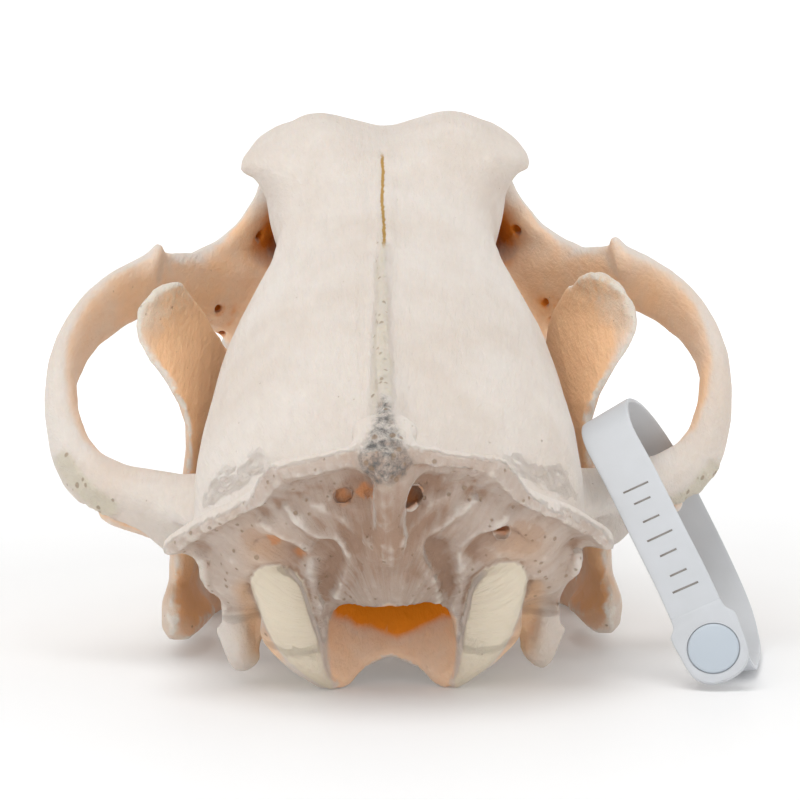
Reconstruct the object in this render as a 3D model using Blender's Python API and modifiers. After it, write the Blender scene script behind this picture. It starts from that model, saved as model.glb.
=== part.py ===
"""Wolf skull with its lower jaw, life size, lying as it rests, with a loop tag on its right arch.

The bones are worked out in the skull's own frame, in millimetres: X to the animal's right, Y forward
to the nose, Z up from the tooth row, and Y = 0 at the back of the nuchal crest. The posing step turns
them nose up on to the floor, in metres.
"""
import math

import bmesh
import bpy
from mathutils import Matrix, Vector

NAME = "wolf_skull"
MM = 0.001

# Rest pose: the skull lies on its two occipital condyles and on both bodies of the lower jaw
NOSE_UP = math.radians(17.7)
FLOOR_DROP = 4.44
ORIGIN_X = 1.23
ORIGIN_Y = 116.7
GAP = 0.3

# Driving sizes of the skull
PROSTHION_Y = 262.0
NASAL_TIP_Y = 231.0
NASAL_TIP_Z = 42.5
FRONTAL_Y = 134.0
FRONTAL_Z = 78.6
BRAINCASE_HALF = 36.6
CONSTRICTION_HALF = 22.4
POSTORBITAL_HALF = 31.5
MASTOID_HALF = 41.2
PALATE_HALF = 40.0
FORAMEN_HALF_WIDTH = 12.4
FORAMEN_HALF_HEIGHT = 7.4
CREST_THICKNESS = 2.6
FURROW_SPREAD = 0.42

# Driving sizes of the lower jaw
JAW_ALVEOLAR_Z = -12.0
JAW_JOINT = (49.0, 63.4, 15.2)
JAW_JOINT_HALF = 10.0
CORONOID_TOP = (43.4, 91.7, 55.0)

# Driving sizes of the tag
BAND_WIDTH = 10.0
BAND_THICKNESS = 1.0
TAG_HEAD_RADIUS = 6.6
TAG_HEAD_THICKNESS = 1.7
BUTTON_RADIUS = 5.0
BUTTON_HEIGHT = 0.9

# Faceting
VOXEL = 1.15
SKULL_TRIANGLES = 4800
JAW_TRIANGLES = 1000
TOOTH_SIDES = 6


def new_collection(name):
    collection = bpy.data.collections.new(name)
    bpy.context.scene.collection.children.link(collection)
    return collection


def bone_material(name, colour, roughness):
    material = bpy.data.materials.new(name)
    material.use_nodes = True
    shader = material.node_tree.nodes["Principled BSDF"]
    shader.inputs["Base Color"].default_value = (*colour, 1.0)
    shader.inputs["Roughness"].default_value = roughness
    shader.inputs["Metallic"].default_value = 0.0
    return material


def between(a, b, t):
    return a + (b - a) * t


def smooth_rows(rows, steps):
    """Rows of numbers joined by a Catmull-Rom curve, with steps spans between each two."""
    rows = [tuple(float(v) for v in row) for row in rows]
    out = []
    for i in range(len(rows) - 1):
        p0 = rows[max(i - 1, 0)]
        p1 = rows[i]
        p2 = rows[i + 1]
        p3 = rows[min(i + 2, len(rows) - 1)]
        for k in range(steps):
            t = k / steps
            out.append(tuple(
                0.5 * (2 * b + (c - a) * t + (2 * a - 5 * b + 4 * c - d) * t * t
                       + (3 * b - a - 3 * c + d) * t ** 3)
                for a, b, c, d in zip(p0, p1, p2, p3)))
    out.append(rows[-1])
    return out


def rounded(angle, power):
    """A point of the unit superellipse, a circle at power 2 and squarer above it."""
    c = math.cos(angle)
    s = math.sin(angle)
    return (math.copysign(abs(c) ** (2.0 / power), c), math.copysign(abs(s) ** (2.0 / power), s))


def loft(name, rings, collection):
    """One closed body through rings of equally many points, with fanned ends."""
    bm = bmesh.new()
    loops = [[bm.verts.new(p) for p in ring] for ring in rings]
    count = len(loops[0])
    for a, b in zip(loops, loops[1:]):
        for i in range(count):
            j = (i + 1) % count
            bm.faces.new((a[i], a[j], b[j], b[i]))
    ends = [bm.faces.new(loops[0]), bm.faces.new(loops[-1])]
    bmesh.ops.poke(bm, faces=ends)
    bmesh.ops.recalc_face_normals(bm, faces=bm.faces[:])
    bmesh.ops.triangulate(bm, faces=bm.faces[:])
    mesh = bpy.data.meshes.new(name)
    bm.to_mesh(mesh)
    bm.free()
    obj = bpy.data.objects.new(name, mesh)
    collection.objects.link(obj)
    return obj


def egg(name, rows, collection, steps=4, sides=32):
    """A body along Y. A row is y, half width, z of the widest place, top, bottom, top and bottom
    powers, lean, how far the section's top reaches backwards for each unit of height, and furrow,
    the depth of the trough along the top."""
    rings = []
    for y, half, wide, top, bottom, power_top, power_bottom, lean, furrow in smooth_rows(rows, steps):
        ring = []
        for i in range(sides):
            angle = 2 * math.pi * i / sides
            upper = math.sin(angle) >= 0
            across, along = rounded(angle, power_top if upper else power_bottom)
            z = wide + along * ((top - wide) if upper else (wide - bottom))
            if upper:
                z -= furrow * math.exp(-(across / FURROW_SPREAD) ** 2)
            ring.append(Vector((half * across, y - lean * (z - wide), z)))
        rings.append(ring)
    return loft(name, rings, collection)


def limb(name, rows, collection, up=(0, 0, 1), power=2.0, steps=3, sides=14):
    """A body along a path. A row is x, y, z, width across and size along the up direction."""
    rows = smooth_rows(rows, steps)
    points = [Vector(row[:3]) for row in rows]
    rings = []
    for i, row in enumerate(rows):
        along = (points[min(i + 1, len(points) - 1)] - points[max(i - 1, 0)]).normalized()
        side = along.cross(Vector(up)).normalized()
        rise = side.cross(along).normalized()
        ring = []
        for k in range(sides):
            a, b = rounded(2 * math.pi * k / sides, power)
            ring.append(points[i] + side * (a * row[3] / 2) + rise * (b * row[4] / 2))
        rings.append(ring)
    return loft(name, rings, collection)


def blade(name, rows, collection, power=3.0, steps=3, sides=16, start=0.0):
    """A plate between two edges. A row is the first edge's point, the second's, and the thickness."""
    rows = smooth_rows(rows, steps)
    first = [Vector(row[0:3]) for row in rows]
    second = [Vector(row[3:6]) for row in rows]
    middle = [(a + b) / 2 for a, b in zip(first, second)]
    rings = []
    for i, row in enumerate(rows):
        along = middle[min(i + 1, len(rows) - 1)] - middle[max(i - 1, 0)]
        half = (second[i] - first[i]) / 2
        face = half.cross(along).normalized()
        ring = []
        for k in range(sides):
            a, b = rounded(start + 2 * math.pi * k / sides, power)
            ring.append(middle[i] + half * a + face * (b * row[6] / 2))
        rings.append(ring)
    return loft(name, rings, collection)


def ball(name, centre, radii, collection, turn=(0, 0, 0), segments=20):
    """A scaled and turned sphere, with turn in degrees about X, Y and Z."""
    bm = bmesh.new()
    bmesh.ops.create_uvsphere(bm, u_segments=segments, v_segments=segments // 2 + 2, radius=1.0)
    size = Matrix.Diagonal((*radii, 1.0))
    turned = Matrix.LocRotScale(Vector(centre), euler(turn), None)
    bmesh.ops.transform(bm, matrix=turned @ size, verts=bm.verts[:])
    bmesh.ops.triangulate(bm, faces=bm.faces[:])
    mesh = bpy.data.meshes.new(name)
    bm.to_mesh(mesh)
    bm.free()
    obj = bpy.data.objects.new(name, mesh)
    collection.objects.link(obj)
    return obj


def euler(degrees):
    x, y, z = (math.radians(v) for v in degrees)
    return (Matrix.Rotation(z, 3, "Z") @ Matrix.Rotation(y, 3, "Y") @ Matrix.Rotation(x, 3, "X")).to_quaternion()


def box(name, centre, sizes, collection, turn=(0, 0, 0)):
    bm = bmesh.new()
    bmesh.ops.create_cube(bm, size=1.0)
    placed = Matrix.LocRotScale(Vector(centre), euler(turn), None) @ Matrix.Diagonal((*sizes, 1.0))
    bmesh.ops.transform(bm, matrix=placed, verts=bm.verts[:])
    mesh = bpy.data.meshes.new(name)
    bm.to_mesh(mesh)
    bm.free()
    obj = bpy.data.objects.new(name, mesh)
    collection.objects.link(obj)
    return obj


def sided(rows, side, spans=((0,),)):
    """Rows with their x values turned to the given side; spans name the columns that hold x."""
    columns = [c for span in spans for c in span]
    return [tuple(v * side if i in columns else v for i, v in enumerate(row)) for row in rows]


def blade_sided(name, rows, side, collection, **options):
    return blade(name, sided(rows, side, ((0, 3),)), collection, **options)


def apply_modifiers(obj):
    """Replaces an object's mesh by its evaluated one."""
    depsgraph = bpy.context.evaluated_depsgraph_get()
    mesh = bpy.data.meshes.new_from_object(obj.evaluated_get(depsgraph))
    obj.modifiers.clear()
    obj.data = mesh


def drop(objects):
    for obj in list(objects):
        bpy.data.objects.remove(obj)


def boolean(obj, operation, collection, solver="EXACT"):
    """One Boolean with every object of a collection, which is then emptied."""
    modifier = obj.modifiers.new("join" if operation == "UNION" else "cut", "BOOLEAN")
    modifier.operation = operation
    modifier.operand_type = "COLLECTION"
    modifier.collection = collection
    modifier.solver = solver
    apply_modifiers(obj)
    drop(collection.objects)


def remeshed(obj, voxel, rounds):
    """An even skin over the joined body, its creases rubbed round."""
    modifier = obj.modifiers.new("remesh", "REMESH")
    modifier.mode = "VOXEL"
    modifier.voxel_size = voxel
    apply_modifiers(obj)
    bm = bmesh.new()
    bm.from_mesh(obj.data)
    for _ in range(rounds):
        bmesh.ops.smooth_vert(bm, verts=bm.verts[:], factor=0.5, use_axis_x=True, use_axis_y=True,
                              use_axis_z=True)
    bm.to_mesh(obj.data)
    bm.free()


def thinned(obj, triangles):
    obj.data.calc_loop_triangles()
    modifier = obj.modifiers.new("thin", "DECIMATE")
    modifier.ratio = triangles / len(obj.data.loop_triangles)
    modifier.use_collapse_triangulate = True
    apply_modifiers(obj)


def islands(bm):
    """The mesh's closed surfaces, each a list of its faces."""
    seen = set()
    found = []
    for face in bm.faces:
        if face in seen:
            continue
        seen.add(face)
        island = [face]
        for current in island:
            for edge in current.edges:
                for other in edge.link_faces:
                    if other not in seen:
                        seen.add(other)
                        island.append(other)
        found.append(island)
    return found


def tidy(obj):
    """Keeps the largest closed surface and welds slivers away."""
    bm = bmesh.new()
    bm.from_mesh(obj.data)
    bmesh.ops.remove_doubles(bm, verts=bm.verts[:], dist=0.02)
    bmesh.ops.dissolve_degenerate(bm, edges=bm.edges[:], dist=0.02)
    bmesh.ops.triangulate(bm, faces=bm.faces[:])
    found = sorted(islands(bm), key=len)
    loose = [face for island in found[:-1] for face in island]
    bmesh.ops.delete(bm, geom=loose, context="FACES")
    stray = [v for v in bm.verts if not v.link_faces]
    bmesh.ops.delete(bm, geom=stray, context="VERTS")
    bmesh.ops.recalc_face_normals(bm, faces=bm.faces[:])
    bm.to_mesh(obj.data)
    bm.free()


def braincase(work):
    """The vault from the occiput to the nasal bones, with the base of the skull under it."""
    half = BRAINCASE_HALF
    neck = CONSTRICTION_HALF
    egg("vault", [
        (14.0, 29.0, 25.0, 45.0, 8.0, 1.5, 2.6, 0.40, 0.0),
        (20.0, 33.0, 26.0, 49.4, 5.0, 1.6, 2.6, 0.34, 0.0),
        (32.0, 37.0, 28.5, 55.0, 4.0, 1.85, 2.4, 0.20, 0.0),
        (46.0, half + 0.4, 32.0, 59.6, 4.0, 2.0, 2.2, 0.10, 0.0),
        (60.0, half - 1.2, 35.0, 62.6, 5.0, 2.05, 2.1, 0.03, 0.0),
        (73.0, 33.4, 39.0, 64.8, 7.0, 2.1, 2.0, 0.0, 0.0),
        (85.0, 29.4, 44.0, 66.8, 10.0, 2.15, 1.8, 0.0, 0.0),
        (96.0, 25.0, 50.0, 68.6, 13.0, 2.3, 1.6, 0.0, 0.0),
        (106.0, neck + 0.4, 55.0, 71.0, 16.0, 2.5, 1.5, 0.0, 0.4),
        (117.0, 24.0, 59.0, 75.2, 16.0, 2.8, 1.5, 0.0, 3.0),
        (127.0, 26.0, 61.0, FRONTAL_Z, 14.0, 3.0, 1.5, 0.0, 6.0),
        (FRONTAL_Y + 2.0, 25.6, 61.0, FRONTAL_Z + 0.8, 12.0, 3.0, 1.5, 0.0, 7.4),
        (146.0, 24.6, 58.0, 76.6, 11.0, 2.8, 1.6, 0.0, 5.8),
        (154.0, 23.6, 51.0, 70.4, 10.0, 2.6, 1.8, 0.0, 3.4),
        (164.0, 22.2, 43.0, 60.6, 8.0, 2.3, 2.0, 0.0, 0.8),
    ], work)
    egg("skull_base", [
        (24.0, 20.0, 9.0, 18.0, 3.6, 2.4, 3.0, 0.0, 0.0),
        (40.0, 15.0, 9.0, 20.0, 2.6, 2.4, 3.0, 0.0, 0.0),
        (60.0, 15.0, 10.0, 24.0, 3.0, 2.4, 3.0, 0.0, 0.0),
        (85.0, 14.0, 14.0, 30.0, 5.0, 2.4, 3.0, 0.0, 0.0),
        (112.0, 13.5, 16.0, 34.0, 5.0, 2.4, 3.0, 0.0, 0.0),
        (140.0, 16.0, 16.0, 34.0, 3.0, 2.4, 3.0, 0.0, 0.0),
    ], work)
    for side in (1, -1):
        ball("ear_bulla", (18.5 * side, 44.0, 5.6), (9.6, 13.5, 10.0), work, turn=(0, 0, -14 * side))
        blade_sided("pterygoid_plate", [
            (11.5, 90.0, -1.5, 12.0, 87.0, 14.0, 2.6),
            (12.5, 104.0, 0.0, 13.5, 104.0, 18.0, 3.2),
            (14.0, 124.0, 0.4, 15.0, 124.0, 22.0, 4.0),
            (17.0, 143.0, 0.8, 17.0, 143.0, 24.0, 5.0),
        ], side, work)


def frontal(work):
    """The postorbital processes and the lines that run back from them to the crest."""
    for side in (1, -1):
        blade_sided("postorbital_process", [
            (14.0, 112.0, 67.0, 14.0, 154.0, 65.0, 13.0),
            (21.0, 115.0, 69.4, 21.5, 151.0, 68.2, 11.0),
            (25.6, 118.6, 69.0, 25.6, 145.0, 68.8, 7.4),
            (29.2, 122.4, 67.8, 29.2, 138.0, 68.0, 4.6),
            (POSTORBITAL_HALF + 0.2, 125.4, 66.4, POSTORBITAL_HALF + 0.2, 129.8, 66.4, 1.8),
        ], side, work, power=2.3)
        blade_sided("temporal_line", [
            (3.0, 98.0, 62.0, 3.4, 98.0, 69.0, 3.4),
            (12.0, 109.0, 62.0, 13.0, 109.0, 70.6, 4.0),
            (20.0, 117.0, 62.0, 21.6, 117.0, 70.4, 5.0),
            (25.0, 124.0, 62.0, 26.5, 124.0, 70.0, 5.0),
        ], side, work, power=2.2)


def crests(work):
    """The sagittal crest and the nuchal crest that the neck muscles held to."""
    thick = CREST_THICKNESS
    blade("sagittal_crest", [
        (0.0, -1.6, 52.0, 0.0, 12.0, 36.0, 3.2 * thick),
        (0.0, 6.0, 55.2, 0.0, 14.0, 38.0, 3.2 * thick),
        (0.0, 18.0, 58.2, 0.0, 20.0, 40.0, 3.2 * thick),
        (0.0, 34.0, 61.4, 0.0, 34.0, 44.0, 3.2 * thick),
        (0.0, 52.0, 64.4, 0.0, 52.0, 50.0, 2.6 * thick),
        (0.0, 72.0, 67.2, 0.0, 72.0, 56.0, 2.0 * thick),
        (0.0, 92.0, 69.3, 0.0, 92.0, 60.0, 1.8 * thick),
        (0.0, 104.0, 70.0, 0.0, 104.0, 62.0, 1.6 * thick),
    ], work, power=1.35)
    half_crest = [
        (38.0, 28.5, 15.0, 31.0, 31.0, 17.0, 2.6),
        (40.0, 26.2, 20.5, 33.0, 32.0, 22.0, 2.8),
        (MASTOID_HALF + 0.2, 22.0, 25.6, 32.0, 30.0, 27.0, 3.0),
        (33.4, 13.6, 35.2, 26.0, 24.0, 33.0, 3.0),
        (24.4, 6.2, 43.6, 19.0, 19.0, 39.0, 3.0),
        (18.6, 2.8, 49.4, 14.0, 17.0, 42.0, 3.0),
        (12.0, 0.4, 52.0, 9.0, 16.0, 43.0, 3.0),
        (5.4, -0.9, 53.6, 4.0, 15.0, 44.0, 3.4),
    ]
    whole = half_crest + [(0.0, -1.2, 53.4, 0.0, 15.0, 44.0, 4.0)]
    whole += [(-a, b, c, -d, e, f, t) for a, b, c, d, e, f, t in reversed(half_crest)]
    blade("nuchal_crest", whole, work, power=2.2, steps=3)


def occiput(work):
    """The condyles, the processes beside them and the ridges of the occipital plate."""
    limb("occipital_ridge", [
        (0.0, 0.8, 51.0, 12.0, 8.0), (0.0, 4.2, 44.0, 7.0, 10.0), (0.0, 8.6, 35.0, 8.0, 10.0),
        (0.0, 13.0, 26.0, 14.0, 10.0), (0.0, 17.8, 19.0, 18.0, 8.0),
    ], work, up=(0, 1, 0))
    ball("occipital_base", (0, 34.0, 8.0), (20.0, 13.0, 6.4), work)
    for side in (1, -1):
        limb("condyle", [
            (20.4 * side, 21.0, 25.4, 7.0, 8.0), (20.4 * side, 18.4, 20.5, 10.6, 14.0),
            (18.9 * side, 18.0, 14.0, 13.4, 17.0), (15.4 * side, 18.6, 8.0, 12.4, 16.0),
            (12.4 * side, 18.4, 3.4, 9.6, 13.0), (10.4 * side, 17.0, -0.4, 6.0, 8.6),
            (9.8 * side, 16.0, -2.0, 2.4, 4.0),
        ], work, up=(0, 1, 0), steps=4, sides=18)
        limb("condyle_web", [
            (11.0 * side, 18.0, -0.2, 4.0, 6.0), (7.6 * side, 19.4, 2.2, 4.6, 7.0),
            (4.4 * side, 21.6, 3.6, 4.6, 7.0), (0.0, 23.4, 4.2, 4.0, 7.0),
        ], work, up=(0, 1, 0))
        blade_sided("condyle_root", [
            (8.0, 30.0, 6.0, 24.0, 30.0, 22.0, 16.0),
            (10.0, 24.0, 6.0, 24.0, 24.0, 24.0, 14.0),
        ], side, work)
        limb("paracondylar_process", [
            (30.0 * side, 30.0, 17.0, 15.0, 9.0), (28.6 * side, 28.0, 9.0, 12.0, 7.4),
            (28.0 * side, 27.0, 3.0, 9.6, 6.0), (28.8 * side, 26.4, -1.0, 6.0, 4.4),
            (29.2 * side, 26.2, -2.6, 2.4, 2.4),
        ], work, up=(0, 1, 0))
        ball("mastoid", (34.5 * side, 30.0, 19.5), (5.4, 8.0, 8.0), work)
        limb("neck_ridge", [
            (30.0 * side, 19.0, 32.0, 7.0, 6.0), (27.0 * side, 19.4, 26.0, 9.0, 7.0),
            (27.0 * side, 22.0, 18.0, 12.0, 8.0),
        ], work, up=(0, 1, 0))


def muzzle(work):
    """The face from the orbits to the incisors."""
    egg("nose", [
        (146.0, 22.0, 46.0, 66.6, 6.0, 2.4, 2.0, 0.0, 0.0),
        (160.0, 22.6, 40.0, 59.0, 2.0, 2.2, 2.4, 0.0, 0.0),
        (176.0, 20.6, 34.0, 52.8, 0.6, 2.2, 2.8, 0.0, 0.0),
        (192.0, 18.6, 28.0, 48.8, 0.4, 2.2, 3.0, 0.0, 0.0),
        (208.0, 18.2, 22.0, 45.8, 0.4, 2.2, 3.0, 0.0, 0.0),
        (222.0, 20.4, 16.0, 43.6, 0.4, 2.2, 3.0, 0.0, 0.0),
        (NASAL_TIP_Y, 20.6, 14.0, NASAL_TIP_Z, 0.2, 2.2, 3.0, 0.0, 0.0),
        (241.0, 19.4, 12.0, 35.0, 0.0, 2.2, 3.0, 0.0, 0.0),
        (250.0, 16.2, 8.0, 25.0, -0.6, 2.2, 2.8, 0.0, 0.0),
        (257.0, 12.0, 5.0, 14.6, -1.0, 2.2, 2.6, 0.0, 0.0),
        (PROSTHION_Y, 6.0, 2.6, 6.0, -0.8, 2.0, 2.2, 0.0, 0.0),
    ], work)
    egg("cheek_bone", [
        (137.0, 35.6, 12.0, 27.0, 3.0, 2.6, 3.0, -0.10, 0.0),
        (146.0, 38.0, 11.0, 36.0, 1.0, 2.2, 3.4, 0.0, 0.0),
        (156.0, PALATE_HALF - 0.4, 9.0, 44.0, 0.2, 1.9, 3.6, 0.0, 0.0),
        (166.0, PALATE_HALF, 8.0, 46.0, 0.2, 1.7, 3.6, 0.0, 0.0),
        (176.0, PALATE_HALF - 2.6, 8.0, 44.0, 0.2, 1.7, 3.4, 0.0, 0.0),
        (188.0, 30.0, 8.0, 40.0, 0.2, 1.8, 3.2, 0.0, 0.0),
        (200.0, 23.0, 8.0, 36.0, 0.2, 2.0, 3.0, 0.0, 0.0),
        (212.0, 19.6, 8.0, 32.0, 0.2, 2.0, 3.0, 0.0, 0.0),
    ], work)
    for side in (1, -1):
        limb("canine_socket", [
            (15.0 * side, 214.0, 25.0, 7.0, 9.0), (18.4 * side, 223.0, 18.0, 9.0, 10.0),
            (19.6 * side, 232.0, 10.0, 9.4, 10.6), (19.4 * side, 240.0, 2.4, 8.8, 11.0),
            (19.2 * side, 241.0, 0.4, 8.0, 10.0),
        ], work)
        blade_sided("orbit_front_rim", [
            (22.0, 144.0, 68.0, 23.0, 156.0, 62.0, 7.0),
            (25.4, 150.0, 62.0, 22.0, 164.0, 56.0, 6.0),
            (28.4, 155.0, 53.4, 22.0, 170.0, 46.0, 6.0),
            (31.6, 155.4, 47.6, 24.0, 174.0, 40.0, 6.0),
            (36.4, 151.4, 43.8, 29.0, 170.0, 32.0, 7.0),
            (43.2, 143.4, 43.4, 36.0, 160.0, 28.0, 7.0),
        ], side, work, power=2.4)


def arches(work):
    """The cheek arches, from the braincase round to the face."""
    for side in (1, -1):
        limb("zygomatic_arch", sided([
            (30.0, 58.0, 20.0, 20.0, 10.0), (40.0, 59.4, 18.8, 15.6, 11.0),
            (49.0, 62.0, 19.0, 14.4, 11.4), (57.2, 65.4, 20.2, 11.8, 11.4),
            (63.4, 72.0, 23.2, 8.8, 11.2), (66.8, 81.0, 29.4, 7.4, 11.8),
            (67.4, 92.0, 35.2, 6.2, 12.6), (64.2, 104.0, 39.6, 5.6, 13.6),
            (58.2, 116.0, 41.8, 5.4, 14.6), (52.0, 127.0, 41.4, 5.6, 15.4),
            (46.6, 137.0, 37.8, 7.0, 15.4), (41.0, 146.0, 33.4, 9.0, 17.6),
            (34.0, 155.0, 29.0, 12.0, 20.0), (27.0, 162.0, 26.0, 12.0, 20.0),
        ], side), work, power=2.4, steps=4, sides=16)
        limb("jugal_process", sided([
            (52.4, 124.0, 43.0, 5.2, 9.0), (50.6, 127.6, 46.0, 4.2, 6.6),
            (49.5, 129.6, 48.6, 3.0, 4.0), (49.2, 130.2, 50.0, 1.8, 2.0),
        ], side), work, up=(0, 1, 0))
        limb("postglenoid_process", sided([
            (44.0, 60.0, 18.0, 16.0, 8.0), (42.4, 57.0, 13.6, 12.0, 5.4),
            (40.4, 56.0, 10.6, 8.0, 4.0), (40.0, 56.0, 9.0, 4.0, 2.8),
        ], side), work, up=(0, 1, 0))
        blade_sided("arch_shelf", [
            (30.0, 34.0, 22.0, 30.0, 58.0, 22.0, 8.0),
            (38.6, 40.0, 22.6, 38.0, 62.0, 21.0, 5.0),
            (45.0, 51.0, 19.6, 44.0, 66.0, 20.0, 5.0),
            (52.0, 58.0, 17.4, 52.0, 68.0, 19.4, 5.0),
        ], side, work, power=2.4)


def skull_openings(cutters):
    """The foramen magnum with the hollow behind it, the nose opening and the passage under the base."""
    limb("foramen_magnum", [
        (0.0, 6.0, 2.4, 26.0, 17.0),
        (0.0, 19.4, 10.6, 2 * FORAMEN_HALF_WIDTH, 2 * FORAMEN_HALF_HEIGHT),
        (0.0, 29.0, 16.4, 22.0, 15.6), (0.0, 40.0, 23.0, 25.0, 21.0),
        (0.0, 52.0, 29.0, 23.0, 20.0), (0.0, 60.0, 33.0, 12.0, 10.0),
    ], cutters, steps=3, sides=20)
    limb("nose_opening", [
        (0.0, 272.0, 26.0, 22.0, 30.0), (0.0, 256.0, 24.6, 20.0, 25.0),
        (0.0, 244.0, 24.6, 21.6, 26.0), (0.0, 230.0, 24.0, 22.0, 29.0),
        (0.0, 212.0, 24.0, 18.0, 26.0), (0.0, 196.0, 24.0, 8.0, 14.0),
    ], cutters, steps=3, sides=20)
    blade("nasal_passage", [
        (0.0, 84.0, -6.0, 0.0, 84.0, 2.0, 14.0),
        (0.0, 96.0, -6.0, 0.0, 96.0, 11.0, 17.0),
        (0.0, 120.0, -6.0, 0.0, 120.0, 15.0, 19.0),
        (0.0, 147.0, -6.0, 0.0, 147.0, 13.0, 22.0),
    ], cutters, power=4.0)


def tooth(name, x, y, z, tip, length, width, collection, lean=(0.0, 0.0), root=5.0):
    """A crown with its root sunk in the jaw. Tip is the height from z to the point, up or down."""
    down = 1.0 if tip < 0 else -1.0
    limb(name, [
        (x - 0.2 * lean[0], y - 0.2 * lean[1], z + down * root, width * 0.7, length * 0.7),
        (x, y, z, width, length),
        (x + 0.6 * lean[0], y + 0.6 * lean[1], z + 0.66 * tip, width * 0.7, length * 0.72),
        (x + lean[0], y + lean[1], z + tip, width * 0.24, length * 0.24),
    ], collection, up=(0, 1, 0), steps=1, sides=TOOTH_SIDES)


def cheek_tooth(name, path, cusps, z, width, collection):
    """A cutting tooth: a low crown along the jaw with its cusps. A cusp is its place from the front
    to the back of the crown and its length, both as parts of the crown's, and its height from z."""
    (xa, ya), (xb, yb) = path
    down = 1.0 if cusps[0][1] < 0 else -1.0
    lowest = min((height for _, height, _ in cusps), key=abs)
    blade(name + "_crown", [
        (xa, ya, z + down * 4.0, xb, yb, z + down * 4.0, width * 0.8),
        (xa, ya, z, xb, yb, z, width),
        (between(xa, xb, 0.08), between(ya, yb, 0.08), z + 0.4 * lowest,
         between(xa, xb, 0.92), between(ya, yb, 0.92), z + 0.4 * lowest, width * 0.7),
    ], collection, power=2.4, steps=1, sides=8)
    for place, height, share in cusps:
        x = between(xa, xb, place)
        y = between(ya, yb, place)
        reach = share / 2
        blade(name + "_cusp", [
            (between(x, xa, reach * 2), between(y, ya, reach * 2), z + down * 0.8,
             between(x, xb, reach * 2), between(y, yb, reach * 2), z + down * 0.8, width * 0.86),
            (between(x, xa, reach * 1.2), between(y, ya, reach * 1.2), z + 0.45 * height,
             between(x, xb, reach * 1.2), between(y, yb, reach * 1.2), z + 0.45 * height, width * 0.66),
            (between(x, xa, 0.08), between(y, ya, 0.08), z + height,
             between(x, xb, 0.08), between(y, yb, 0.08), z + height, width * 0.16),
        ], collection, power=2.0, steps=1, sides=TOOTH_SIDES)


def upper_teeth(work):
    """Three incisors, the canine, four premolars and two molars on each side."""
    for side in (1, -1):
        for x, y, tip, length in ((2.8, 260.4, -8.0, 5.4), (8.0, 258.2, -9.0, 6.0), (13.0, 252.6, -12.0, 7.4)):
            tooth("incisor", x * side, y, 0.0, tip, length, length * 0.82, work, lean=(0.4 * side, -1.6))
        limb("canine", sided([
            (18.6, 238.0, 6.0, 7.0, 9.0), (19.4, 240.6, 0.0, 8.4, 12.0), (20.4, 241.8, -8.0, 7.6, 10.4),
            (21.2, 241.4, -16.0, 5.8, 7.6), (21.4, 239.4, -22.0, 3.6, 4.6), (21.2, 237.6, -25.4, 1.0, 1.2),
        ], side), work, up=(0, 1, 0), steps=1, sides=10)
        tooth("premolar_1", 18.0 * side, 228.0, 0.6, -6.0, 6.4, 4.4, work)
        cheek_tooth("premolar_2", ((18.0 * side, 221.0), (19.2 * side, 208.0)),
                    ((0.42, -8.0, 0.8), (0.8, -4.4, 0.5)), 0.6, 5.0, work)
        cheek_tooth("premolar_3", ((20.0 * side, 205.0), (23.8 * side, 190.0)),
                    ((0.42, -9.4, 0.8), (0.8, -5.4, 0.5)), 0.6, 5.6, work)
        cheek_tooth("premolar_4", ((26.4 * side, 188.0), (36.6 * side, 165.0)),
                    ((0.38, -14.0, 0.72), (0.76, -9.4, 0.7)), 0.6, 8.4, work)
        cheek_tooth("molar_1", ((36.4 * side, 163.0), (34.6 * side, 150.0)),
                    ((0.28, -7.4, 0.7), (0.74, -6.4, 0.7)), 0.6, 8.0, work)
        limb("molar_1_heel", sided([
            (34.0, 156.4, 1.0, 9.0, 5.4), (28.0, 155.6, 0.0, 8.0, 6.0), (24.4, 155.4, 0.4, 5.0, 5.0),
        ], side), work, steps=1, sides=8)
        limb("molar_2", sided([
            (33.4, 146.4, 1.2, 6.6, 6.6), (29.6, 146.0, 0.4, 7.0, 6.6), (25.4, 146.0, 0.8, 4.6, 5.0),
        ], side), work, steps=1, sides=8)


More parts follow.
